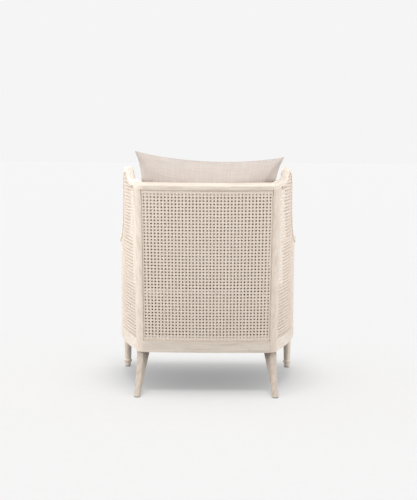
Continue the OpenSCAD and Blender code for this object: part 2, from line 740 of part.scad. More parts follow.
module side_cane_spline() {
    top = [for (i = [1:len(side_frames) - 2]) side_frames[i]];
    color(REED) {
        skin([for (f = top) [for (q = spline_turned) f[0] + q[0] * f[1] + q[1] * f[2]]]);
        skin([for (i = [0:10]) let (w = mix(0.02, 0.98, i / 10))
            [for (q = spline_section) on_rail(w, rail_height - q[1], q[0])]]);
        on_back() translate([back_half_width, -post_depth, rail_height + lip_width + 3])
            linear_extrude(cap_v - 2 * lip_width - rail_height - 6)
                polygon([for (q = spline_section) [q[0] + 0.5, q[1]]]);
        translate([side_x(1), front_line_y, front_underside + rail_height + lip_width + 3])
            linear_extrude(arm_underside - front_underside - rail_height - 2 * lip_width - 8)
                polygon([for (q = spline_turned) [q[0] - 0.2, -q[1]]]);
    }
}

// Seat webbing straps, laid front to back and then side to side
strap_pitch = 90;
cross_pitch = 82;
cross_first = front_line_y + 51;
strap_front = seat_y(front_rail_face + lip_depth + 1, strap_up);
ledge_back = back_foot_y - (lip_depth + 1) * cos(back_lean) + rail_height * tan(back_lean);
strap_back = seat_y(ledge_back, strap_up);
function rail_ledge(y) = let (w = min(1, max(0, seat_w(y, rail_height))))
    side_x(w) - lip_depth / side_normal(w, seat_z(y, rail_height))[0] - 1;
module seat_webbing() {
    color(WEBBING) on_seat() {
        for (i = [-2:2]) translate([i * strap_pitch - strap_width / 2, strap_front, strap_up])
            cube([strap_width, strap_back - strap_front, strap_thickness]);
        for (i = [0:4]) let (y = cross_first + i * cross_pitch, half = rail_ledge(y + strap_width))
            translate([-half, seat_y(y, strap_up), strap_up + strap_thickness + strap_lift])
                cube([2 * half, strap_width, strap_thickness]);
    }
}

// Deck cloth over the webbing
module mirrored_outline(edge) {
    polygon(concat(edge, [for (i = [len(edge) - 1:-1:0]) [-edge[i][0], edge[i][1]]]));
}
module deck_cloth() {
    inside = front_rail_half - 1;
    beside_post = post_line_y(seat_z(seat_rear_y, rail_height)) - 1;
    edge = concat([[inside, front_rail_face + lip_depth + 1], [inside, front_line_y + 2]],
        [for (i = [0:8]) let (y = mix(front_line_y + 2, beside_post, i / 8)) [rail_ledge(y) - 0.5, y]],
        [[post_x - 1, beside_post], [post_x - 1, ledge_back]]);
    color(LINEN) on_seat() translate([0, 0, deck_up]) linear_extrude(deck_thickness)
        mirrored_outline([for (q = edge) [q[0], seat_y(q[1], deck_up)]]);
}

// Dust cover under the seat frame
module dust_cover() {
    inset = 12;
    before_leg = rear_leg_y - 47;
    inside = front_rail_half - 1;
    edge = concat([[inside, front_rail_face + inset], [inside, front_line_y + 1]],
        [for (i = [0:6]) let (y = mix(front_line_y + 1, before_leg, i / 6))
            [side_x(seat_w(y, 0)) - inset, y]],
        [[rear_leg_x - 42, before_leg], [rear_leg_x - 48, back_foot_y - 18]]);
    color(CLOTH) on_seat() translate([0, 0, -cover_thickness]) linear_extrude(cover_thickness)
        mirrored_outline([for (q = edge) [q[0], seat_y(q[1])]]);
}

// Seat cushion: a box cushion with rounded corners, drawn-in sides and a crowned top
cushion_gap = 6;
seat_front = seat_y(front_rail_face + lip_depth + 2, cushion_up);
seat_back = seat_y(ledge_back - 14, cushion_up);
seat_middle = (seat_front + seat_back) / 2;
function seat_half(y) = let (t = (y - seat_front) / (seat_back - seat_front))
    mix(front_rail_half - cushion_gap, post_x - post_lip - cushion_gap, t) + 38 * 4 * t * (1 - t);
function box_reach(t) = pow(pow(abs(cos(t)), 8) + pow(abs(sin(t)), 8), -1 / 8);
function seat_ring(up, inset, draw) = [for (i = [0:47])
    let (t = i * 7.5 + 3.75, c = cos(t) * box_reach(t), s = sin(t) * box_reach(t),
        lean = s > 0 ? up * tan(back_lean + seat_slope) * s * s : 0,
        half = (seat_back - seat_front) / 2, y = seat_middle + s * half,
        along = min(abs(c), abs(s)), pull = inset + draw * (1 - along * along))
    [c * (seat_half(y) - pull), seat_middle + s * (half - pull) + lean, cushion_up + up]];
module seat_cushion() {
    high = seat_cushion_height;
    walls = [[0, 16, 0], [6, 9, 1], [15, 3, 4], [26, 0, 5], [high * 0.5, 0, 2],
        [high - 13, 0, 5], [high - 4, 4, 2]];
    crown = [for (t = [0:15:75]) [high + seat_cushion_crown * sin(t), 11 + 245 * (1 - cos(t)), 0]];
    color(LINEN) on_seat() skin([for (s = concat(walls, crown)) seat_ring(s[0], s[1], s[2])]);
}

// Back cushion: a knife-edged pillow with corner tips, leaning on the back
cushion_nest = 14.4;
back_cushion_low = (cushion_up + seat_cushion_height) / cos(back_lean) - cushion_nest;
back_cushion_height = back_length + back_cushion_rise - back_cushion_low;
back_cushion_gap = 0.5;
back_cushion_seam = 2;
back_cushion_dip = 0.09;
back_cushion_shift = 3;
back_cushion_turn = 2.2;
pillow_steps = 22;
function pillow_full(u, v) =
    pow(max(0, 1 - pow(abs(u), 2.8)), 0.55) * pow(max(0, 1 - pow(abs(v), 2.8)), 0.5);
// The height, from -1 to 1, at which the cushion's rear leans on the crest rail's lower edge
lean_v = (2 * (cap_v - back_cushion_low) / back_cushion_height - 1) / (1 - back_cushion_dip);
back_cushion_y = frame_proud - crest_depth - back_cushion_gap - back_cushion_seam
    - back_cushion_thickness / 2 * pillow_full(0, lean_v);
function pillow(u, v, side) = let (half_h = back_cushion_height / 2,
    x = back_cushion_half_width * u * (1 - 0.1 * (1 - pow(v, 4))),
    h = half_h * v * (1 - (v > 0 ? back_cushion_dip : 0.03) * (1 - u * u)),
    settle = v < 0 ? 1 + 0.12 * sin(-v * 180) : 1,
    bulge = back_cushion_thickness / 2 * pillow_full(u, v) * settle,
    y = back_cushion_y + side * (bulge + back_cushion_seam))
    from_back([back_cushion_shift + x * cos(back_cushion_turn) - h * sin(back_cushion_turn), y,
        back_cushion_low + half_h + h * cos(back_cushion_turn) + x * sin(back_cushion_turn)]);
module back_cushion() {
    size = pillow_steps + 1;
    function at(i) = sin(90 * (2 * i / pillow_steps - 1));
    rear = [for (i = [0:pillow_steps]) for (j = [0:pillow_steps]) pillow(at(i), at(j), 1)];
    face = [for (i = [0:pillow_steps]) for (j = [0:pillow_steps]) pillow(at(i), at(j), -1)];
    shift = size * size;
    grid = [for (i = [0:pillow_steps - 1]) for (j = [0:pillow_steps - 1])
        let (a = i * size + j, b = a + size)
        each [[a, b + 1, a + 1], [a, b, b + 1], [shift + a, shift + a + 1, shift + b + 1],
            [shift + a, shift + b + 1, shift + b]]];
    rim = [for (k = [0:pillow_steps - 1]) let (low = k * size, right = pillow_steps * size + k,
        high = k * size + pillow_steps)
        each [[k, k + 1, shift + k + 1], [k, shift + k + 1, shift + k],
            [right, shift + right + 1, right + 1], [right, shift + right, shift + right + 1],
            [low, shift + low + size, low + size], [low, shift + low, shift + low + size],
            [high, high + size, shift + high + size], [high, shift + high + size, shift + high]]];
    color(LINEN) polyhedron(concat(rear, face), concat(grid, rim), convexity = 6);
}

crest_rail();
wing_rail();  // left_wing_rail
mirror([1, 0, 0]) wing_rail();  // right_wing_rail
arm();  // left_arm
mirror([1, 0, 0]) arm();  // right_arm
back_post();  // left_back_post
mirror([1, 0, 0]) back_post();  // right_back_post
back_seat_rail();
side_seat_rail();  // left_seat_rail
mirror([1, 0, 0]) side_seat_rail();  // right_seat_rail
front_seat_rail();
front_post();  // left_front_post
mirror([1, 0, 0]) front_post();  // right_front_post
rear_leg();  // left_rear_leg
mirror([1, 0, 0]) rear_leg();  // right_rear_leg
back_cane();
side_cane();  // left_cane
mirror([1, 0, 0]) side_cane();  // right_cane
back_cane_spline();
side_cane_spline();  // left_cane_spline
mirror([1, 0, 0]) side_cane_spline();  // right_cane_spline
corner_blocks();
block_screws();
dowels();
rear_leg_bolts();
seat_webbing();
deck_cloth();
dust_cover();
foot_glides();
seat_cushion();
back_cushion();
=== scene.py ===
"""Armchair with a caned back and sides, two loose linen cushions and a limed wooden frame.

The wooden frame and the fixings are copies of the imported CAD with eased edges. The cane, straps, cloths and
cushions are modelled round them. Sizes are in millimetres and repeat part.scad's values where both need them.
The camera stands behind the chair, as in the photo.
"""
import math

import bmesh
import bpy
import numpy as np
from mathutils import Matrix, Vector


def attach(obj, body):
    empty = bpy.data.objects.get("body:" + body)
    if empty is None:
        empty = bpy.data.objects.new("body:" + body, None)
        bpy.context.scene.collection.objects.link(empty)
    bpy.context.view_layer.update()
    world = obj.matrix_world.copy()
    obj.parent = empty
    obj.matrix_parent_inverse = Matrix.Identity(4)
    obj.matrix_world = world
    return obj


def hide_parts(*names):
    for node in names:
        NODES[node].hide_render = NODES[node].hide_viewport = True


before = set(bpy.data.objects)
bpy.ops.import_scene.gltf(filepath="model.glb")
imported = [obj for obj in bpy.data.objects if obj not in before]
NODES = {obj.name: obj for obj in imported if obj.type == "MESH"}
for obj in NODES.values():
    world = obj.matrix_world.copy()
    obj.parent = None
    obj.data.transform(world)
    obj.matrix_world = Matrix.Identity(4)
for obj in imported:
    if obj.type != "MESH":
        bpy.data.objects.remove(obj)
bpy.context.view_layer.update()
MM = 0.001

# ---------------------------------------------------------------- sizes, as in part.scad
LEAN, SLOPE = math.radians(16), math.radians(0.5)
COS, SIN, TAN = math.cos(LEAN), math.sin(LEAN), math.tan(LEAN)
CREST, CREST_DEPTH, CAP, WING_HEIGHT = 804, 34, 20, 860
HALF, BOW, FOOT_Y = 266, 9, 171
POST_FACE, POST_DEPTH, PROUD = 26, 38, 3
UNDER, RAIL, SIDE_BOW, ARM_UNDER = 158.5, 49, 1, 536
POST_X, POST_Y, POST_WIDE = 336, -340, 44
POST_LIP, LIP_DEPTH, GROOVE = 9, 18, 4
PITCH = 12.7

SPREAD = POST_X + POST_WIDE / 2 - PROUD - HALF
FRONT_Y = POST_Y + POST_WIDE / 2
CAP_V = (CREST - UNDER) / COS - CAP
INNER_X = HALF - POST_FACE
RAIL_FACE = POST_Y - POST_WIDE / 2 + 6
FRONT_HALF = POST_X - POST_WIDE / 2


def mix(a, b, t):
    return a * (1 - t) + b * t


def from_back(x, a, v):
    """A point of the back's leaning frame: x across, a outwards, v up the slope."""
    return np.stack([x + 0 * a, FOOT_Y + a * COS + v * SIN, UNDER - a * SIN + v * COS], -1)


def back_y(x):
    return BOW * (1 - (x / HALF) ** 2)


def back_point(x, v, a):
    """A point of the back's bowed surface, a millimetres outside it."""
    s = 2 * BOW * x / HALF**2
    k = 1 / np.sqrt(1 + s * s)
    return from_back(x + a * s * k, back_y(x) + a * k, v)


def post_line_y(z):
    """The front of the back posts at a height."""
    return FOOT_Y + (z - UNDER) * TAN - POST_DEPTH / COS


def side_w(y, z):
    """The share of the way from the back post to the front post."""
    return (post_line_y(z) - y) / (post_line_y(z) - FRONT_Y)


def side_x(w):
    return HALF + SPREAD * (w + SIDE_BOW * w * (1 - w))


def side_normal(w, z):
    u = np.stack([0 * w, (1 - w) * TAN, 1 + 0 * w], -1)
    v = np.stack([SPREAD * (1 + SIDE_BOW * (1 - 2 * w)), FRONT_Y - post_line_y(z), 0 * w], -1)
    n = np.cross(u, v)
    return n / np.linalg.norm(n, axis=-1, keepdims=True)


def side_point(y, z, a):
    """A point of the left side's bowed surface, a millimetres outside it."""
    w = side_w(y, z)
    return np.stack([side_x(w), y, z + 0 * w], -1) + np.asarray(a)[..., None] * side_normal(w, z)


SEAT_REAR = post_line_y(UNDER)
FRONT_UNDER = UNDER - (FRONT_Y - SEAT_REAR) * math.tan(SLOPE)


def seat_z(y, up):
    return UNDER + up - (y - SEAT_REAR) * math.tan(SLOPE)


def on_seat(x, s, up):
    """A point of the sloping seat frame: s back from the front posts, up from its underside."""
    return np.stack([x + 0 * s, FRONT_Y + s * math.cos(SLOPE) + up * math.sin(SLOPE),
                     FRONT_UNDER - s * math.sin(SLOPE) + up * math.cos(SLOPE)], -1)


def seat_s(y, up=0.0):
    return (y - FRONT_Y - up * math.sin(SLOPE)) / math.cos(SLOPE)


def bezier(p, t):
    s = 1 - t
    return [s**3 * p[0][i] + 3 * s * s * t * p[1][i] + 3 * s * t * t * p[2][i] + t**3 * p[3][i]
            for i in (0, 1)]


def add(p, q, k=1.0):
    return (p[0] + k * q[0], p[1] + k * q[1])


def unit2(v):
    n = math.hypot(*v)
    return (v[0] / n, v[1] / n)


SIDE_DEPTH, WING_RISE = SEAT_REAR - FRONT_Y, WING_HEIGHT - CAP - ARM_UNDER
CURVE_STEPS = 14


def side_place(share, up):
    """A point in side view: a share of the way back from the front post, and of the way up the wing."""
    return (FRONT_Y + share * SIDE_DEPTH, ARM_UNDER + up * WING_RISE)


def side_outline():
    """The cap's lower edge in side view, from the back post to the front post, as y and z."""
    end = from_back(0.0, np.float64(-POST_DEPTH), CAP_V)
    start = (end[1], end[2])
    peak, falling, arm, tip = (side_place(*q) for q in ((1.066, 1), (0.85, 0.63), (0.57, 0.13), (0, 0)))
    rise, fall, sweep = unit2((-1, -0.03)), unit2((-0.26, -1)), unit2((-1, -0.28))
    h = SIDE_DEPTH / 7
    pieces = [
        [start, add(start, rise, 2.5 * h), (peak[0] + h, peak[1]), peak],
        [peak, (peak[0] - h, peak[1]), add(falling, fall, -h), falling],
        [falling, add(falling, fall, 1.15 * h), add(arm, sweep, -h), arm],
        [arm, add(arm, sweep, 1.3 * h), (tip[0] + 1.5 * h, tip[1] + 0.03 * h), tip],
    ]
    line = [start]
    for p in pieces:
        line += [tuple(bezier(p, i / CURVE_STEPS)) for i in range(1, CURVE_STEPS + 1)]
    return line


# ---------------------------------------------------------------- objects
# Edges that stay sharp in shading, and edges that get a bevel, in degrees; vertices welded, in metres
SHARP_ANGLE, BEVEL_ANGLE, WELD = 28, 32, 2e-6


def mesh_object(name, points, faces, smooth=True, uv=None):
    """A mesh object from points and cloth coordinates in millimetres."""
    mesh = bpy.data.meshes.new(name)
    mesh.from_pydata((np.asarray(points, float) * MM).tolist(), [], [list(map(int, f)) for f in faces])
    if smooth:
        mesh.polygons.foreach_set("use_smooth", [True] * len(mesh.polygons))
    if uv is not None:
        layer = mesh.uv_layers.new(name="cloth")
        loops = np.zeros(len(mesh.loops), np.int32)
        mesh.loops.foreach_get("vertex_index", loops)
        layer.data.foreach_set("uv", (np.asarray(uv, float)[loops] * MM).ravel())
    obj = bpy.data.objects.new(name, mesh)
    bpy.context.scene.collection.objects.link(obj)
    return obj


def finish_piece(obj, material, slot, *replaced):
    obj.data.materials.clear()
    obj.data.materials.append(material)
    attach(obj, "root")
    if replaced:
        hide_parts(*replaced)
    return obj


def mark_sharp(mesh, degrees):
    """Smooth faces that break only at edges sharper than the angle."""
    bm = bmesh.new()
    bm.from_mesh(mesh)
    bmesh.ops.remove_doubles(bm, verts=bm.verts, dist=WELD)
    limit = math.radians(degrees)
    for e in bm.edges:
        e.smooth = len(e.link_faces) == 2 and e.calc_face_angle(0.0) < limit
    for f in bm.faces:
        f.smooth = True
    bm.to_mesh(mesh)
    bm.free()


def softened(node, name, material, slot, width=1.0):
    """A copy of a CAD node with its edges eased, which stands for the node."""
    obj = bpy.data.objects.new(name, NODES[node].data.copy())
    bpy.context.scene.collection.objects.link(obj)
    mark_sharp(obj.data, SHARP_ANGLE)
    bevel = obj.modifiers.new("eased", "BEVEL")
    bevel.width = width * MM
    bevel.segments = 2
    bevel.limit_method = "ANGLE"
    bevel.angle_limit = math.radians(BEVEL_ANGLE)
    bevel.use_clamp_overlap = True
    bevel.harden_normals = True
    return finish_piece(obj, material, slot, node)


# ---------------------------------------------------------------- materials
def toned(colour, factor):
    """The colour made lighter or darker by a factor, at most white."""
    return tuple(min(1.0, factor * c) for c in colour)


def between(dark, light, share):
    return tuple(mix(a, b, share) for a, b in zip(dark, light))


def along_grain(axis, along, across):
    """A noise's scale for each axis, with its own value along one of them."""
    return [along if name == axis else across for name in "XYZ"]


def make_node(tree, kind, inputs=None, **settings):
    node = tree.nodes.new(kind)
    for name, value in settings.items():
        setattr(node, name, value)
    for name, value in (inputs or {}).items():
        node.inputs[name].default_value = value
    return node


class Surface:
    """Short calls for a material's node tree."""

    def __init__(self, name):
        self.material = bpy.data.materials.new(name)
        self.material.use_nodes = True
        self.tree = self.material.node_tree
        self.shader = self.tree.nodes["Principled BSDF"]

    def make(self, kind, inputs=None, **settings):
        return make_node(self.tree, kind, inputs, **settings)

    def join(self, a, b):
        self.tree.links.new(a, b)

    def coordinates(self, scale, kind="Object"):
        """The object's coordinates, or the cloth's with kind "UV", at one scale or one for each axis."""
        scales = (scale,) * 3 if isinstance(scale, float) else scale
        mapping = self.make("ShaderNodeMapping", {"Scale": scales})
        self.join(self.make("ShaderNodeTexCoord").outputs[kind], mapping.inputs["Vector"])
        return mapping.outputs["Vector"]

    def noise(self, scale, detail, roughness, kind="Object"):
        node = self.make("ShaderNodeTexNoise", {"Scale": 1.0, "Detail": detail, "Roughness": roughness})
        self.join(self.coordinates(scale, kind), node.inputs["Vector"])
        return node.outputs["Fac"]

    def ramp(self, value, stops):
        node = self.make("ShaderNodeValToRGB")
        elements = node.color_ramp.elements
        while len(elements) < len(stops):
            elements.new(0.5)
        for element, (place, colour) in zip(elements, stops):
            element.position = place
            element.color = (*colour, 1)
        self.join(value, node.inputs["Fac"])
        return node.outputs["Color"]

    def grey(self, value, low, high, a=0.0, b=1.0):
        """a up to low, b from high on, and a straight line between."""
        return self.ramp(value, [(low, (a, a, a)), (high, (b, b, b))])

    def blend(self, factor, a, b):
        """From a to b by the factor. Each may be a value or another node's output."""
        node = self.make("ShaderNodeMix", data_type="RGBA")
        colours = [s for s in node.inputs if s.type == "RGBA"]
        share = next(s for s in node.inputs if s.name == "Factor" and s.type == "VALUE")
        for socket, value in ((share, factor), (colours[0], a), (colours[1], b)):
            if isinstance(value, float):
                socket.default_value = value
            elif isinstance(value, tuple):
                socket.default_value = (*value, 1)
            else:
                self.join(value, socket)
        return next(s for s in node.outputs if s.type == "RGBA")

    def bump(self, height, strength, distance, normal=None):
        node = self.make("ShaderNodeBump", {"Strength": strength, "Distance": distance})
        self.join(height, node.inputs["Height"])
        if normal is not None:
            self.join(normal, node.inputs["Normal"])
        return node.outputs["Normal"]

    def surface(self, colour, roughness, normal=None, specular=0.35, sheen=0.0):
        self.join(colour, self.shader.inputs["Base Color"])
        if isinstance(roughness, float):
            self.shader.inputs["Roughness"].default_value = roughness
        else:
            self.join(roughness, self.shader.inputs["Roughness"])
        self.shader.inputs["Specular IOR Level"].default_value = specular
        self.shader.inputs["Sheen Weight"].default_value = sheen
        if normal is not None:
            self.join(normal, self.shader.inputs["Normal"])
        return self.material


def limed_wood(name, axis, light=(0.85, 0.76, 0.672), dark=(0.67, 0.575, 0.482)):
    """Limed wood whose grain runs along one axis, with a painted highlight on its edges and painted shade in
    its corners.
    """
    m = Surface(name)
    grain = m.noise(along_grain(axis, 7.0, 85.0), 7.0, 0.62)
    pores = m.noise(along_grain(axis, 22.0, 420.0), 3.0, 0.7)
    cloud = m.noise(5.0, 3.0, 0.5)
    colour = m.ramp(grain, [(0.30, dark), (0.46, between(dark, light, 0.62)), (0.60, light),
                            (0.78, toned(light, 1.05))])
    colour = m.blend(m.grey(pores, 0.52, 0.70, 0.0, 0.42), colour, toned(dark, 0.72))
    colour = m.blend(m.grey(cloud, 0.35, 0.68, 0.0, 0.22), colour, toned(dark, 0.9))
    # Painted highlight on convex edges and painted shade in hollows and inner corners, both from the mesh's
    # pointiness
    edge = m.make("ShaderNodeNewGeometry").outputs["Pointiness"]
    colour = m.blend(m.grey(edge, 0.53, 0.60, 0.0, 0.30), colour, toned(light, 1.12))
    colour = m.blend(m.grey(edge, 0.40, 0.48, 0.45, 0.0), colour, toned(dark, 0.62))
    normal = m.bump(pores, 0.22, 0.0004, m.bump(grain, 0.16, 0.0008))
    return m.surface(colour, m.grey(grain, 0.3, 0.7, 0.62, 0.44), normal, 0.3)


def bare_wood(name):
    """Plain wood of the hidden blocks and dowels."""
    m = Surface(name)
    grain = m.noise(along_grain("X", 8.0, 70.0), 6.0, 0.6)
    pores = m.noise(along_grain("X", 48.0, 420.0), 2.0, 0.6)
    colour = m.ramp(grain, [(0.28, (0.42, 0.27, 0.14)), (0.5, (0.60, 0.42, 0.25)),
                            (0.74, (0.70, 0.52, 0.33))])
    colour = m.blend(m.grey(pores, 0.5, 0.68, 0.0, 0.4), colour, (0.36, 0.22, 0.11))
    return m.surface(colour, m.grey(grain, 0.3, 0.7, 0.8, 0.62), m.bump(pores, 0.25, 0.0005), 0.25)


# The pith side of the cane, which faces into the chair, is painted much darker and browner: its own browner
# tone and painted shade of the hollow behind the webbing
PITH_SHADE_TINT = (0.54, 0.48, 0.41)


def cane_material(name, light, dark):
    """Split cane, each strand with its own tone and fine lengthwise fibres."""
    m = Surface(name)
    strand = m.make("ShaderNodeAttribute", attribute_name="tone").outputs["Fac"]
    cloud = m.noise(26.0, 3.0, 0.6)
    fleck = m.noise(along_grain("Z", 260.0, 700.0), 2.0, 0.6)
    colour = m.ramp(strand, [(0.0, dark), (0.45, between(dark, light, 0.7)), (1.0, light)])
    colour = m.blend(m.grey(cloud, 0.36, 0.68, 0.0, 0.30), colour, dark)
    colour = m.blend(m.grey(fleck, 0.56, 0.72, 0.0, 0.30), colour, toned(dark, 0.75))
    pith = m.make("ShaderNodeNewGeometry").outputs["Backfacing"]
    # Painted shade: the faces turned into the chair take the dark tint
    colour = m.blend(pith, colour, tuple(a * b for a, b in zip(PITH_SHADE_TINT, dark)))
    return m.surface(colour, m.grey(fleck, 0.3, 0.7, 0.42, 0.60), m.bump(fleck, 0.3, 0.0003), 0.4)


def woven(name, light, dark, pitch, slub=0.35, rumple=0.0):
    """Plain woven cloth in the cloth's own coordinates: warp, weft and slubs."""
    m = Surface(name)
    rate = 1.0 / pitch
    thread, length = rate * 0.55, rate * 0.02
    vector = m.coordinates(rate, "UV")
    waves = []
    for direction in ("X", "Y"):
        wave = m.make("ShaderNodeTexWave", {"Scale": 0.05 * math.tau, "Distortion": 1.6, "Detail": 2.0,
                                            "Detail Scale": 0.8},
                      wave_type="BANDS", bands_direction=direction, wave_profile="SIN")
        m.join(vector, wave.inputs["Vector"])
        waves.append(wave.outputs["Fac"])
    over = m.blend(0.5, *waves)
    warp = m.noise((thread, length, 1.0), 3.0, 0.6, "UV")
    weft = m.noise((length, thread, 1.0), 3.0, 0.6, "UV")
    cloud = m.noise(9.0, 3.0, 0.5)
    colour = m.blend(m.grey(over, 0.15, 0.85, 0.0, 1.0), dark, light)
    colour = m.blend(m.grey(warp, 0.46, 0.72, 0.0, slub), colour, toned(light, 1.10))
    colour = m.blend(m.grey(weft, 0.46, 0.74, 0.0, slub), colour, toned(dark, 0.80))
    colour = m.blend(m.grey(cloud, 0.35, 0.7, 0.0, 0.14), colour, toned(dark, 0.86))
    normal = m.bump(weft, 0.12, 0.0004, m.bump(m.blend(0.35, over, warp), 0.5, 0.0004))
    if rumple:
        # Thick and thin yarns that show from a step away, and the soft rumples of loose cloth
        thick, long = rate * 0.17, rate * 0.009
        for scale in ((thick, long, 1.0), (long, thick, 1.0)):
            yarn = m.noise(scale, 2.0, 0.6, "UV")
            colour = m.blend(m.grey(yarn, 0.44, 0.66, 0.0, 0.22), colour, toned(dark, 0.84))
        normal = m.bump(m.noise((11.0, 11.0, 7.0), 3.0, 0.5), rumple, 0.012, normal)
    return m.surface(colour, 0.92, normal, 0.15, 0.25)


def metal(name, colour):
    m = Surface(name)
    scratch = m.noise(along_grain("Z", 90.0, 900.0), 3.0, 0.7)
    tint = m.blend(m.grey(scratch, 0.35, 0.7, 0.0, 0.5), colour, toned(colour, 0.7))
    m.shader.inputs["Metallic"].default_value = 1.0
    return m.surface(tint, m.grey(scratch, 0.3, 0.7, 0.28, 0.48), m.bump(scratch, 0.1, 0.0002), 0.5)


def plastic(name, colour):
    m = Surface(name)
    grain = m.noise(1200.0, 2.0, 0.6)
    wear = m.noise(140.0, 3.0, 0.6)
    tint = m.blend(m.grey(wear, 0.45, 0.75, 0.0, 0.4), colour, toned(colour, 1.6))
    return m.surface(tint, m.grey(wear, 0.3, 0.7, 0.5, 0.7), m.bump(grain, 0.25, 0.0002), 0.4)


wood_x = limed_wood("limed_wood_across", "X")
wood_y = limed_wood("limed_wood_lengthways", "Y")
# Painted shade: the back and front posts take a slightly darker copy of the limed wood
wood_z = limed_wood("limed_wood_upright", "Z", (0.84, 0.736, 0.64), (0.67, 0.565, 0.465))
# Painted shade: the rear legs are the same limed wood as the frame, given a much darker copy of it
shaded_leg_wood = limed_wood("limed_wood_legs_painted_shade", "Z", (0.50, 0.435, 0.375), (0.38, 0.315, 0.26))
block_wood = bare_wood("block_wood")
cane = cane_material("cane", (0.925, 0.81, 0.70), (0.87, 0.745, 0.625))
reed = cane_material("reed", (0.84, 0.745, 0.65), (0.70, 0.60, 0.50))
linen = woven("linen", (0.66, 0.59, 0.545), (0.52, 0.455, 0.408), 0.0011, 0.35, 0.55)
piping_linen = woven("piping_linen", (0.58, 0.515, 0.472), (0.45, 0.39, 0.348), 0.0010)
cotton = woven("deck_cotton", (0.70, 0.65, 0.57), (0.56, 0.50, 0.43), 0.0012)
jute = woven("jute_webbing", (0.50, 0.39, 0.26), (0.33, 0.24, 0.15), 0.0022, 0.5)
black_cloth = woven("cover_cloth", (0.035, 0.034, 0.033), (0.018, 0.018, 0.018), 0.0016)
steel = metal("zinc_plated_steel", (0.62, 0.62, 0.60))
dark_plastic = plastic("dark_plastic", (0.035, 0.032, 0.030))

# ---------------------------------------------------------------- the wooden frame and its fixings
for material, nodes in (
        (wood_x, ("crest_rail", "back_seat_rail", "front_seat_rail")),
        (wood_y, ("left_wing_rail", "right_wing_rail", "left_arm", "right_arm", "left_seat_rail",
                  "right_seat_rail")),
        (wood_z, ("left_back_post", "right_back_post", "left_front_post", "right_front_post")),
        (shaded_leg_wood, ("left_rear_leg", "right_rear_leg"))):
    for node in nodes:
        softened(node, "wood_" + node, material, "wood")
softened("corner_blocks", "blocks", block_wood, "inner_wood", 0.8)
softened("dowels", "dowel_pins", block_wood, "inner_wood", 0.6)
softened("block_screws", "screws", steel, "steel", 0.3)
softened("rear_leg_bolts", "hanger_bolts", steel, "steel", 0.5)
softened("foot_glides", "glides", dark_plastic, "plastic", 0.6)

# ---------------------------------------------------------------- cane
CANE_WIDTH, CANE_CROWN = 2.5, 0.34
# Half the way between the strands of a pair, and how far pairs and diagonals rise and fall
PAIR_HALF, PAIR_LIFT, DIAGONAL_LIFT = 1.52, 0.28, 0.62
# The weave's middle, outside the panel's middle surface
WEAVE_OUT = 1.05
# The shortest piece between a strand's end and its first crossing
END_GAP = 0.6
GOLDEN = 0.618034


class Ribbons:
    """Thin ribbons of cane, gathered into one mesh."""

    def __init__(self, place, order):
        """place puts panel coordinates into the frame. order, 1 or -1, turns the faces' skin side out."""
        self.place, self.order = place, order
        self.points, self.faces, self.tone = [], [], []
        self.total = 0

    def strand(self, s, t, lift, width):
        """A strand along points s, t of the panel, lifted off the weave's middle."""
        ds, dt = np.gradient(s), np.gradient(t)
        length = np.hypot(ds, dt)
        ns, nt = -dt / length, ds / length
        rows = [self.place(s + k * width * ns, t + k * width * nt, lift + c * CANE_CROWN)
                for k, c in ((-0.5, -0.5), (0.0, 0.5), (0.5, -0.5))]
        self.points.append(np.concatenate(rows))
        n = len(s)
        for a in (self.total, self.total + n):
            self.faces += [(a + i, a + i + 1, a + n + i + 1, a + n + i)[::self.order] for i in range(n - 1)]
        self.total += 3 * n
        self.tone += [(len(self.points) * GOLDEN * 7) % 1.0] * (3 * n)

    def build(self, name):
        obj = mesh_object(name, np.concatenate(self.points), self.faces)
        layer = obj.data.attributes.new("tone", "FLOAT", "POINT")
        layer.data.foreach_set("value", self.tone)
        return obj


def crossings(outline, axis, value):
    """Where the line axis = value enters and leaves the outline, as pairs along the other axis."""
    hits = []
    for p, q in zip(outline, outline[1:] + outline[:1]):
        if (p[axis] - value) * (q[axis] - value) < 0:
            k = (value - p[axis]) / (q[axis] - p[axis])
            hits.append(p[1 - axis] + k * (q[1 - axis] - p[1 - axis]))
    hits.sort()
    return list(zip(hits[0::2], hits[1::2]))


def knots(a, b, phases):
    """A strand's points from a to b: its ends, and the given places of each pitch between them."""
    steps = np.arange(math.floor((a - 2 * PITCH) / PITCH), math.ceil((b + 2 * PITCH) / PITCH) + 1)
    at = np.sort(np.concatenate([steps * PITCH + p for p in phases]))
    return np.concatenate([[a], at[(at > a + END_GAP) & (at < b - END_GAP)], [b]])


def weave_pairs(ribbons, outline, middle, axis):
    """The pairs of strands on which the coordinate axis is constant."""
    other = 1 - axis
    places = [p[axis] for p in outline]
    first = math.floor((min(places) - middle[axis]) / PITCH)
    last = math.ceil((max(places) - middle[axis]) / PITCH)
    for i in range(first, last + 1):
        for hand in (-1, 1):
            at = middle[axis] + i * PITCH + hand * PAIR_HALF
            for a, b in crossings(outline, axis, at):
                run = knots(a - middle[other], b - middle[other], (-PAIR_HALF, PAIR_HALF, PITCH / 2))
                phase = (run + PITCH / 2) % PITCH - PITCH / 2
                sign = hand if axis == 0 else -hand
                near = np.abs(phase) < PITCH * 0.4
                lift = sign * PAIR_LIFT * np.clip(-phase / PAIR_HALF, -1, 1) * near
                run = run + middle[other]
                fixed = np.full_like(run, at)
                ribbons.strand(*((fixed, run) if axis == 0 else (run, fixed)), lift, CANE_WIDTH)


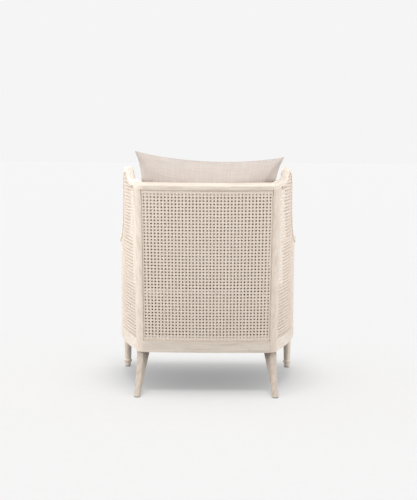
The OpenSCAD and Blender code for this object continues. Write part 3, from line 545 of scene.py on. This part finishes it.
def weave_diagonals(ribbons, outline, middle, hand):
    """The strands along one diagonal. They run through the middles of the pairs, between the crossings."""
    turned = [(p[0], p[1] - hand * (p[0] - middle[0])) for p in outline]
    lows, highs = min(p[1] for p in turned), max(p[1] for p in turned)
    first = math.floor((lows - middle[1]) / PITCH - 0.5)
    last = math.ceil((highs - middle[1]) / PITCH + 0.5)
    for i in range(first, last + 1):
        at = middle[1] + (i + 0.5) * PITCH
        for a, b in crossings(turned, 1, at):
            run = knots(a - middle[0], b - middle[0], (0.0, PITCH / 2))
            half = np.round(run / (PITCH / 2))
            on_pair = np.abs(run - half * PITCH / 2) < 0.01
            over = np.where(half % 2 == 0, -hand * DIAGONAL_LIFT, hand * DIAGONAL_LIFT)
            ribbons.strand(run + middle[0], at + hand * run, np.where(on_pair, over, 0.0), CANE_WIDTH * 0.95)


def six_way(place, outline, middle, order):
    """Six-way cane webbing inside an outline: pairs both ways and one strand along each diagonal."""
    ribbons = Ribbons(place, order)
    for axis in (0, 1):
        weave_pairs(ribbons, outline, middle, axis)
    for hand in (-1, 1):
        weave_diagonals(ribbons, outline, middle, hand)
    return ribbons


# The open cane ends a little inside the frame's grooves
EDGE = GROOVE + 0.25
back_edge = [(-INNER_X + EDGE, RAIL + EDGE), (INNER_X - EDGE, RAIL + EDGE),
             (INNER_X - EDGE, CAP_V - EDGE), (-INNER_X + EDGE, CAP_V - EDGE)]
back_weave = six_way(lambda s, t, a: back_point(s, t, a + WEAVE_OUT), back_edge, (PITCH / 2, 363.0), -1)
finish_piece(back_weave.build("back_webbing"), cane, "cane", "back_cane")


def side_edge():
    """The outline of a side's cane as y and z, between the grooves of rail, posts and cap."""
    along = [mix(FRONT_Y + EDGE, SEAT_REAR + 20, i / 20) for i in range(21)]
    bottom = [(y, seat_z(y, RAIL + EDGE)) for y in along]
    top = side_outline()
    inset = []
    for i, p in enumerate(top):
        a, b = top[max(i - 1, 0)], top[min(i + 1, len(top) - 1)]
        t = unit2((b[0] - a[0], b[1] - a[1]))
        inset.append((p[0] - EDGE * t[1], p[1] + EDGE * t[0]))
    kept = []
    for y, z in bottom + inset:
        y = min(max(y, FRONT_Y + EDGE), post_line_y(z) - EDGE)
        if not kept or math.dist(kept[-1], (y, z)) > 0.4:
            kept.append((y, z))
    return kept


for hand, word in ((1, "left"), (-1, "right")):
    flip = np.array([hand, 1, 1])
    side_weave = six_way(lambda s, t, a, flip=flip: side_point(s, t, a + WEAVE_OUT) * flip, side_edge(),
                         (-100.0, 400.0), hand)
    finish_piece(side_weave.build(word + "_webbing"), cane, "cane", word + "_cane")
for node in ("back_cane_spline", "left_cane_spline", "right_cane_spline"):
    softened(node, "reed_" + node, reed, "reed", 0.5)

# ---------------------------------------------------------------- seat under the cushion
UP_STRAP = RAIL * math.cos(SLOPE)
STRAP, STRAP_THICK, STRAP_MIDDLE, STRAP_LIFT, STRAP_STEPS = 50, 1.3, 0.9, 0.8, 60
STRAP_COLUMNS = (-180.0, -90.0, 0.0, 90.0, 180.0)
STRAP_FIRST, STRAP_STEP, STRAP_ROWS = 51, 82, 5
# How far from a crossing's middle a strap still lies on or under the other
CROSSING_REACH = 30.0
FIRM_FRONT = RAIL_FACE + LIP_DEPTH + 1
LEDGE_BACK = FOOT_Y - (LIP_DEPTH + 1) * COS + RAIL * TAN


def rail_ledge(y):
    """Half the width between the ledges of the side rails."""
    w = np.clip(side_w(y, seat_z(y, RAIL)), 0, 1)
    return side_x(w) - LIP_DEPTH / side_normal(w, seat_z(y, RAIL))[..., 0] - 1


def strap_wave(t, centres, sign):
    """1 where the strap lies on those that cross it and -1 where it lies under them, by turns."""
    value = np.zeros_like(t)
    for i, c in enumerate(centres):
        value += sign * (-1) ** i * np.exp(-(((t - c) / CROSSING_REACH) ** 4))
    return np.clip(value, -1, 1)


def strap_run(lengthways, start, end, at, centres, sign):
    """A flat strap that passes over and under those that cross it."""
    n = STRAP_STEPS
    t = np.linspace(start, end, n)
    up = UP_STRAP + STRAP_MIDDLE + STRAP_LIFT * strap_wave(t, centres, sign)
    points, uv, faces = [], [], []
    for side, edge in ((-1, -0.5), (-1, 0.5), (1, 0.5), (1, -0.5)):
        across = np.full(n, at + edge * STRAP)
        height = up + side * STRAP_THICK / 2
        points.append(on_seat(across, t, height) if lengthways else on_seat(t, across, height))
        uv.append(np.stack([np.full(n, edge * STRAP), t], -1))
    for r in range(4):
        a, b = r * n, ((r + 1) % 4) * n
        faces += [(a + i, a + i + 1, b + i + 1, b + i) for i in range(n - 1)]
    faces += [(0, n, 2 * n, 3 * n), (n - 1, 4 * n - 1, 3 * n - 1, 2 * n - 1)]
    return np.concatenate(points), faces, np.concatenate(uv)


def webbing_straps():
    """Five straps each way, woven over and under each other."""
    ys = [FRONT_Y + STRAP_FIRST + i * STRAP_STEP for i in range(STRAP_ROWS)]
    rows = [seat_s(y, UP_STRAP) + STRAP / 2 for y in ys]
    front, back = seat_s(FIRM_FRONT, UP_STRAP), seat_s(LEDGE_BACK, UP_STRAP)
    runs = [strap_run(True, front, back, x, rows, (-1) ** i) for i, x in enumerate(STRAP_COLUMNS)]
    for i, (y, row) in enumerate(zip(ys, rows)):
        half = rail_ledge(y + STRAP)
        runs.append(strap_run(False, -half, half, row, STRAP_COLUMNS, (-1) ** (i + 1)))
    points, faces, uvs, total = [], [], [], 0
    for p, f, u in runs:
        points.append(p)
        uvs.append(u)
        faces += [tuple(total + j for j in q) for q in f]
        total += len(p)
    return mesh_object("webbing_straps", np.concatenate(points), faces, False, np.concatenate(uvs))


finish_piece(webbing_straps(), jute, "webbing", "seat_webbing")

SHEET_STEPS = 48


def sheet_grid(half_width, front, back, up, thick, puff):
    """A thin padded sheet on the seat frame's plane, its edge following half_width(s)."""
    steps = SHEET_STEPS
    us = np.linspace(-1, 1, steps + 1)
    top, low, uv = [], [], []
    for t in np.linspace(0, 1, steps + 1):
        s = mix(front, back, t)
        x = us * half_width(s)
        rise = puff(us, 2 * t - 1)
        top.append(on_seat(x, np.full_like(x, s), up + thick + rise))
        low.append(on_seat(x, np.full_like(x, s), up + np.minimum(rise, 0)))
        uv.append(np.stack([x, np.full_like(x, s)], -1))
    n = steps + 1
    under = n * n
    faces = []
    for r in range(steps):
        for c in range(steps):
            a = r * n + c
            b = under + a
            faces.append((a, a + 1, a + n + 1, a + n))
            faces.append((b, b + n, b + n + 1, b + 1))
    for c in range(steps):
        e = steps * n + c
        faces.append((c + 1, c, under + c, under + c + 1))
        faces.append((e, e + 1, under + e + 1, under + e))
    for r in range(steps):
        a = r * n
        e = a + steps
        faces.append((a, a + n, under + a + n, under + a))
        faces.append((e + n, e, under + e, under + e + n))
    return np.concatenate(top + low), faces, np.concatenate(uv + uv)


DECK_UP, DECK_THICK, DECK_PUFF = UP_STRAP + 3.2, 1.7, 0.25
DECK_STOP = post_line_y(seat_z(SEAT_REAR, RAIL)) - 1


def deck_half(s):
    """Half the deck cloth's width: between the front posts, the side rails and the back posts."""
    y = FRONT_Y + s * math.cos(SLOPE) + DECK_UP * math.sin(SLOPE)
    if y < FRONT_Y + 2:
        return FRONT_HALF - 1
    if y < DECK_STOP:
        return rail_ledge(y) - 0.5
    return INNER_X - 1


p, f, u = sheet_grid(deck_half, seat_s(FIRM_FRONT, DECK_UP), seat_s(LEDGE_BACK, DECK_UP), DECK_UP, DECK_THICK,
                     lambda a, b: DECK_PUFF * (1 - a**6) * (1 - b**6))
deck = mesh_object("deck_cover", p, f, True, u)
finish_piece(deck, cotton, "deck_cloth", "deck_cloth")

COVER_FRONT, COVER_BACK = RAIL_FACE + 12, FOOT_Y - 18
COVER_THICK, COVER_SAG = 0.8, 2.6
# Where the rear legs begin, and how far from the inner faces of the back posts they reach
LEG_FRONT, LEG_REACH = SEAT_REAR - 58, (41, 47)


def cover_half(s):
    """Half the dust cloth's width: between the front posts, the side rails and the rear legs."""
    y = FRONT_Y + s * math.cos(SLOPE)
    if y < FRONT_Y + 1:
        return FRONT_HALF - 1
    if y < LEG_FRONT:
        return side_x(side_w(y, seat_z(y, 0))) - 12
    return mix(INNER_X - LEG_REACH[0], INNER_X - LEG_REACH[1], (y - LEG_FRONT) / (COVER_BACK - LEG_FRONT))


p, f, u = sheet_grid(cover_half, seat_s(COVER_FRONT), seat_s(COVER_BACK), -1.0, COVER_THICK,
                     lambda a, b: -COVER_SAG * (1 - a * a) * (1 - b * b))
cover = mesh_object("dust_cloth", p, f, True, u)
finish_piece(cover, black_cloth, "cover_cloth", "dust_cover")

# ---------------------------------------------------------------- cushions
CLOTH_FRAMES, CLOTH_STIFFNESS = 20, 12.0


def inflate(obj, cap, pressure, share=None):
    """Blender's cloth, blown up a little. A point's travel is capped in millimetres and scaled by share."""
    rest = np.zeros(len(obj.data.vertices) * 3)
    obj.data.vertices.foreach_get("co", rest)
    cloth = obj.modifiers.new("cloth", "CLOTH")
    settings = cloth.settings
    settings.quality = 5
    settings.mass = 0.3
    settings.tension_stiffness = CLOTH_STIFFNESS
    settings.compression_stiffness = CLOTH_STIFFNESS
    settings.shear_stiffness = 5.0
    settings.bending_stiffness = 0.6
    settings.use_pressure = True
    settings.uniform_pressure_force = pressure
    settings.effector_weights.gravity = 0.0
    cloth.collision_settings.use_collision = False
    cloth.point_cache.frame_start = 1
    cloth.point_cache.frame_end = CLOTH_FRAMES
    scene = bpy.context.scene
    for number in range(1, CLOTH_FRAMES + 1):
        scene.frame_set(number)
    graph = bpy.context.evaluated_depsgraph_get()
    moved = np.zeros_like(rest)
    obj.evaluated_get(graph).data.vertices.foreach_get("co", moved)
    obj.modifiers.remove(cloth)
    scene.frame_set(1)
    rest, moved = rest.reshape(-1, 3), moved.reshape(-1, 3)
    shift = moved - rest
    far = np.linalg.norm(shift, axis=1, keepdims=True)
    limit = cap * MM
    shift *= np.where(far > 1e-9, limit * np.tanh(far / limit) / np.maximum(far, 1e-9), 1.0)
    if share is not None:
        shift *= np.asarray(share)[:, None]
    obj.data.vertices.foreach_set("co", (rest + shift).ravel())
    obj.data.update()


SEAT_HIGH, SEAT_CROWN = 153.0, 20.0
CUSHION_UP = DECK_UP + 2.0 + 0.3
PILLOW_HALF, PILLOW_RISE, PILLOW_THICK = HALF + 6.0, 83.0, 165.0
PILLOW_DIP, PILLOW_SEAM, PILLOW_GAP, PILLOW_NEST = 0.09, 2.0, 0.5, 14.4
PILLOW_LOW = (CUSHION_UP + SEAT_HIGH) / COS - PILLOW_NEST
PILLOW_TALL = (CREST - UNDER) / COS + PILLOW_RISE - PILLOW_LOW
PILLOW_TURN, PILLOW_SHIFT = math.radians(2.2), 3.0
# The sides pull in between the corners, the lower edge bows less than the upper one, the low half is fuller
PILLOW_PINCH, PILLOW_LOW_DIP, PILLOW_SETTLE, PILLOW_GATHER = 0.1, 0.03, 0.12, 1.5
# The pillow starts slacker than the CAD's and is then blown up
PILLOW_SLACK, PILLOW_STEPS, PILLOW_CROWD = 0.93, 84, math.pi / 2 * 0.92


def pillow_full(u, v):
    """The pillow's fullness, 1 in its middle and 0 at its seams. u and v run from -1 to 1."""
    return np.maximum(0, 1 - np.abs(u) ** 2.8) ** 0.55 * np.maximum(0, 1 - np.abs(v) ** 2.8) ** 0.5


# The pillow's rear leans on the crest rail's lower edge
lean_v = (2 * (CAP_V - PILLOW_LOW) / PILLOW_TALL - 1) / (1 - PILLOW_DIP)
PILLOW_Y = (PROUD - CREST_DEPTH - PILLOW_GAP - PILLOW_SEAM
            - PILLOW_THICK / 2 * float(pillow_full(0.0, lean_v)))


def pillow_gathers(u, v, side):
    """Gathers that run in from the seams, deepest near them and gone in the corners."""
    near_side = np.exp(-(1 - np.abs(u)) * 7) * (1 - np.abs(u) ** 30)
    near_end = np.exp(-(1 - np.abs(v)) * 7) * (1 - np.abs(v) ** 30)
    return (near_side * (np.sin(v * 31 + 2 * side) + 0.6 * np.sin(v * 53 + 1.3 + side))
            + near_end * (np.sin(u * 29 + side) + 0.6 * np.sin(u * 47 + 0.4 - side)))


def pillow_point(u, v, side, slack=1.0):
    """A point of the pillow's rear (side 1) or face (side -1)."""
    half = PILLOW_TALL / 2
    x = PILLOW_HALF * u * (1 - PILLOW_PINCH * (1 - v**4))
    h = half * v * (1 - np.where(v > 0, PILLOW_DIP, PILLOW_LOW_DIP) * (1 - u * u))
    full = pillow_full(u, v)
    settle = np.where(v < 0, 1 + PILLOW_SETTLE * np.sin(-v * math.pi), 1.0)
    gathers = PILLOW_GATHER * pillow_gathers(u, v, side) * full**0.5
    y = PILLOW_Y + side * (PILLOW_THICK / 2 * full * settle * slack + 0.4 + gathers)
    c, s = math.cos(PILLOW_TURN), math.sin(PILLOW_TURN)
    return from_back(PILLOW_SHIFT + x * c - h * s, y, PILLOW_LOW + half + h * c + x * s)


def back_cushion():
    """The loose pillow: two faces that share their rim, with points crowded towards the seams."""
    n = PILLOW_STEPS
    line = np.sin(np.linspace(-1, 1, n + 1) * PILLOW_CROWD) / math.sin(PILLOW_CROWD)
    u, v = np.meshgrid(line, line, indexing="ij")
    seam = (pillow_point(u, v, 1) + pillow_point(u, v, -1)) / 2
    points, faces, uv, share, rims = [], [], [], [], []
    index = {}
    for side in (1, -1):
        grid = pillow_point(u, v, side, PILLOW_SLACK)
        for i in range(n + 1):
            for j in range(n + 1):
                rim = i in (0, n) or j in (0, n)
                if side == -1 and rim:
                    index[side, i, j] = index[1, i, j]
                    continue
                index[side, i, j] = len(points)
                points.append(seam[i, j] if rim else grid[i, j])
                rims.append(rim)
                # The rim gives less than the faces, and the corners stay
                held = (abs(u[i, j]) * abs(v[i, j])) ** 6
                share.append((0.45 if rim else 1.0) * (1 - held))
                uv.append((u[i, j] * PILLOW_HALF, v[i, j] * PILLOW_TALL / 2 + (600 if side < 0 else 0)))
        for i in range(n):
            for j in range(n):
                corners = ((i, j), (i + 1, j), (i + 1, j + 1), (i, j + 1))
                face = [index[(side, *corner)] for corner in corners]
                faces.append(face[::-1] if side == 1 else face)
    obj = mesh_object("back_pillow", points, faces, True, uv)
    inflate(obj, 9.0, 4.0, share)
    mesh = obj.data
    crease = mesh.attributes.new("crease_edge", "FLOAT", "EDGE")
    for edge in mesh.edges:
        if rims[edge.vertices[0]] and rims[edge.vertices[1]]:
            crease.data[edge.index].value = 1.0
    tips = mesh.attributes.new("crease_vert", "FLOAT", "POINT")
    for i, j in ((0, 0), (0, n), (n, 0), (n, n)):
        tips.data[index[1, i, j]].value = 1.0
    smooth = obj.modifiers.new("smooth", "SUBSURF")
    smooth.levels = smooth.render_levels = 1
    return obj


pillow = back_cushion()
finish_piece(pillow, linen, "linen", "back_cushion")

SEAT_FRONT = seat_s(RAIL_FACE + LIP_DEPTH + 2, CUSHION_UP)
SEAT_BACK = seat_s(LEDGE_BACK - 14, CUSHION_UP)
SEAT_SWELL, SEAT_STEPS = 38, 192
# Rows of the seat cushion that carry the piping, and one of its wall that the wall's cloth is measured on
LOWER_SEAM, UPPER_SEAM, WALL_ROW = 4, 21, 10


def seat_half(s):
    """Half the seat cushion's width: between the front posts, swelling to the sides and in to the back."""
    t = (s - SEAT_FRONT) / (SEAT_BACK - SEAT_FRONT)
    return mix(FRONT_HALF - 6, INNER_X - POST_LIP - 6, t) + SEAT_SWELL * 4 * t * (1 - t)


def seat_ring(up, inset, draw):
    """A ring of the seat cushion, inset all round and drawn in between its corners."""
    t = (np.arange(SEAT_STEPS) + 0.5) / SEAT_STEPS * math.tau
    c, s = np.cos(t), np.sin(t)
    reach = (np.abs(c) ** 8 + np.abs(s) ** 8) ** (-1 / 8)
    c, s = c * reach, s * reach
    lean = np.where(s > 0, up * math.tan(LEAN + SLOPE) * s * s, 0)
    half, middle = (SEAT_BACK - SEAT_FRONT) / 2, (SEAT_FRONT + SEAT_BACK) / 2
    along = np.minimum(np.abs(c), np.abs(s))
    pull = inset + draw * (1 - along**2)
    x = c * (seat_half(middle + s * half) - pull)
    return on_seat(x, middle + s * (half - pull) + lean, CUSHION_UP + up + 0 * x)


def seat_rows():
    """Height, inset and draw of each ring, from the underside up to the crown."""
    high = SEAT_HIGH
    foot = [(0.0, 60.0, 0), (0.0, 30.0, 0), (0, 16, 0), (1.6, 12.5, 0.4), (4, 9.5, 1), (8, 6.6, 2),
            (14, 3.6, 4), (20, 1.4, 4.6)]
    wall = [(h, 0.4 + 0.6 * abs(2 * h / high - 1), mix(2.0, 5.0, abs(2 * h / high - 1) ** 2))
            for h in np.linspace(28, high - 22, 12)]
    shoulder = [(high - 13, 0.6, 5), (high - 8, 2.4, 4), (high - 4, 5.0, 2), (high - 1.2, 8.0, 1),
                (high, 11.0, 0.3)]
    crown = [(high + SEAT_CROWN * 0.94 * math.sin(t), 11 + 245 * (1 - math.cos(t)), 0)
             for t in np.linspace(0.12, 1.42, 16)]
    return foot + wall + shoulder + crown


def seat_box():
    """The box cushion, and the lines of its two piped seams."""
    count, rows = SEAT_STEPS, seat_rows()
    rings = [seat_ring(*r) for r in rows]
    plan = rings[WALL_ROW][:, :2]
    steps = np.linalg.norm(np.diff(plan, axis=0, append=plan[:1]), axis=1)
    run = np.concatenate([[0], np.cumsum(steps)[:-1]])
    faces, uv = [], []
    for (up, _, _), ring in zip(rows, rings):
        uv += [(a, up) for a in run] if 3 < up < SEAT_HIGH - 6 else [(q[0], q[1]) for q in ring]
    for r in range(len(rows) - 1):
        for i in range(count):
            a, b = r * count + i, r * count + (i + 1) % count
            faces.append((a, b, b + count, a + count))
    points = np.concatenate(rings)
    middle_low, middle_top, last = len(points), len(points) + 1, (len(rows) - 1) * count
    points = np.concatenate([points, rings[0].mean(0)[None], rings[-1].mean(0)[None]])
    uv += [tuple(points[middle_low][:2]), tuple(points[middle_top][:2])]
    for i in range(count):
        j = (i + 1) % count
        faces.append((middle_low, j, i))
        faces.append((middle_top, last + i, last + j))
    obj = mesh_object("seat_box", points, faces, True, uv)
    inflate(obj, 5.0, 3.0)
    seams = [np.array([obj.data.vertices[row * count + i].co[:] for i in range(count)]) / MM
             for row in (LOWER_SEAM, UPPER_SEAM)]
    return obj, seams


PIPING_RADIUS, PIPING_OUT, PIPING_SIDES, PIPING_STEP = 2.4, 0.6, 10, 6.0


def piping(name, line):
    """A round piping cord along a closed line, pushed out from the line's middle."""
    count, sides, radius = len(line), PIPING_SIDES, PIPING_RADIUS
    centre = line.mean(0)
    points, faces, uv = [], [], []
    for i in range(count):
        ahead = line[(i + 1) % count] - line[i - 1]
        ahead /= np.linalg.norm(ahead)
        out = line[i] - centre
        out -= ahead * out.dot(ahead)
        out[2] = 0
        out /= np.linalg.norm(out)
        up = np.cross(ahead, out)
        for k in range(sides):
            a = math.tau * k / sides
            points.append(line[i] + out * (PIPING_OUT + radius * math.cos(a)) + up * radius * math.sin(a))
            uv.append((i * PIPING_STEP, k * radius * math.tau / sides))
    for i in range(count):
        for k in range(sides):
            a, b = i * sides + k, i * sides + (k + 1) % sides
            c = ((i + 1) % count) * sides
            faces.append((a, b, c + (k + 1) % sides, c + k))
    return mesh_object(name, points, faces, True, uv)


seat, seams = seat_box()
finish_piece(seat, linen, "linen", "seat_cushion")
for line, word in zip(seams, ("lower", "upper")):
    finish_piece(piping(word + "_piping", line), piping_linen, "linen")

# ---------------------------------------------------------------- stage, light and camera
# Greys that the floor shows and that it throws back at the chair, its glow, and the world's two levels
FLOOR_SHOWN, FLOOR_THROWN, FLOOR_GLOW = (0.635, 0.645), 0.42, 0.26
WORLD_LIGHT, WORLD_SHOWN = 0.55, 0.913
FLOOR_REACH = 30000


def shown_rays(tree):
    """1 for the rays that show a surface: straight, mirrored or through glass. Else 0."""
    path = make_node(tree, "ShaderNodeLightPath")
    total = path.outputs["Is Camera Ray"]
    for kind in ("Is Glossy Ray", "Is Transmission Ray"):
        node = make_node(tree, "ShaderNodeMath", operation="ADD", use_clamp=True)
        tree.links.new(total, node.inputs[0])
        tree.links.new(path.outputs[kind], node.inputs[1])
        total = node.outputs[0]
    return total


def stage_material():
    """Pale paper, which throws less light back at the chair than the camera sees of it."""
    m = Surface("floor_paint")
    low, high = ((grey,) * 3 for grey in FLOOR_SHOWN)
    colour = m.ramp(m.noise(30.0, 3.0, 0.5), [(0.3, low), (0.7, high)])
    shown = shown_rays(m.tree)
    colour = m.blend(shown, (FLOOR_THROWN,) * 3, colour)
    m.shader.inputs["Emission Color"].default_value = (1.0, 1.0, 1.0, 1)
    glow = m.make("ShaderNodeMapRange", {"To Min": 0.0, "To Max": FLOOR_GLOW})
    m.join(shown, glow.inputs["Value"])
    m.join(glow.outputs["Result"], m.shader.inputs["Emission Strength"])
    return m.surface(colour, 0.9, None, 0.1)


r = FLOOR_REACH
floor = mesh_object("floor", [(-r, -r, 0), (r, -r, 0), (r, r, 0), (-r, r, 0)], [(0, 1, 2, 3)], False)
floor.data.materials.append(stage_material())

world = bpy.data.worlds.new("studio")
bpy.context.scene.world = world
world.use_nodes = True
tree = world.node_tree
tree.nodes.clear()
light = make_node(tree, "ShaderNodeBackground", {"Color": (1.0, 1.0, 1.0, 1), "Strength": WORLD_LIGHT})
backdrop = make_node(tree, "ShaderNodeBackground", {"Color": (*(WORLD_SHOWN,) * 3, 1), "Strength": 1.0})
choose = make_node(tree, "ShaderNodeMixShader")
output = make_node(tree, "ShaderNodeOutputWorld")
tree.links.new(shown_rays(tree), choose.inputs[0])
tree.links.new(light.outputs[0], choose.inputs[1])
tree.links.new(backdrop.outputs[0], choose.inputs[2])
tree.links.new(choose.outputs[0], output.inputs["Surface"])


def lamp_object(name, lamp, direction):
    obj = bpy.data.objects.new(name, lamp)
    bpy.context.scene.collection.objects.link(obj)
    obj.rotation_mode = "QUATERNION"
    obj.rotation_quaternion = direction.to_track_quat("-Z", "Y")
    return obj


# Three suns light the chair and the floor: direction, strength and angle in degrees
for name, direction, strength, angle in (
        ("overhead", (-0.02, -0.34, -1.0), 1.15, 26),
        ("left_window", (-1.0, -0.15, -0.42), 0.45, 110),
        ("right_window", (1.0, -0.15, -0.42), 0.40, 110)):
    sun = bpy.data.lights.new(name, "SUN")
    sun.energy = strength
    sun.angle = math.radians(angle)
    lamp_object(name, sun, Vector(direction))

# Soft boxes light the chair and leave the floor as it is: place, aim and power
PANEL_SIZE = 1.2
spared = bpy.data.collections.new("spared_floor")
spared.objects.link(floor)
spared.collection_objects[0].light_linking.link_state = "EXCLUDE"
for name, place, aim, power in (
        ("key_panel", (1.6, 2.4, 1.6), (0.0, 0.3, 0.7), 25.0),
        ("fill_panel", (-1.6, 2.4, 1.4), (0.0, 0.3, 0.7), 12.0),
        ("front_panel", (0.9, -2.4, 1.7), (0.0, -0.1, 0.5), 30.0),
        ("left_panel", (2.7, 0.6, 0.9), (0.3, 0.0, 0.6), 28.0),
        ("right_panel", (-2.7, 0.6, 0.9), (-0.3, 0.0, 0.6), 26.0)):
    box = bpy.data.lights.new(name, "AREA")
    box.shape = "SQUARE"
    box.size = PANEL_SIZE
    box.energy = power
    panel = lamp_object(name, box, Vector(aim) - Vector(place))
    panel.location = place
    panel.light_linking.receiver_collection = spared

# The camera as fitted to the photo: its place, its turns in degrees, its focal length and height in pixels
CAMERA_PLACE, CAMERA_TURNS = (-0.029, 4.617, 1.006), (-0.31, 5.88, -0.30)
FOCAL, PICTURE_HEIGHT, SENSOR = 1188.5, 500, 36.0
yaw, pitch, roll = (math.radians(a) for a in CAMERA_TURNS)
ahead = Vector((math.sin(yaw) * math.cos(pitch), math.cos(yaw) * math.cos(pitch), -math.sin(pitch)))
right = Vector((math.cos(yaw), -math.sin(yaw), 0))
down = ahead.cross(right)
right, down = math.cos(roll) * right + math.sin(roll) * down, -math.sin(roll) * right + math.cos(roll) * down
behind = Matrix.Rotation(math.pi, 3, "Z")
columns = [behind @ right, behind @ -down, behind @ -ahead]
camera = bpy.data.objects.new("camera", bpy.data.cameras.new("camera"))
bpy.context.scene.collection.objects.link(camera)
camera.matrix_world = Matrix.Translation(CAMERA_PLACE) @ Matrix(columns).transposed().to_4x4()
camera.data.sensor_width = SENSOR
camera.data.lens = FOCAL * SENSOR / PICTURE_HEIGHT
camera.data.clip_end = 200
bpy.context.scene.camera = camera
bpy.context.scene.view_settings.view_transform = "Standard"
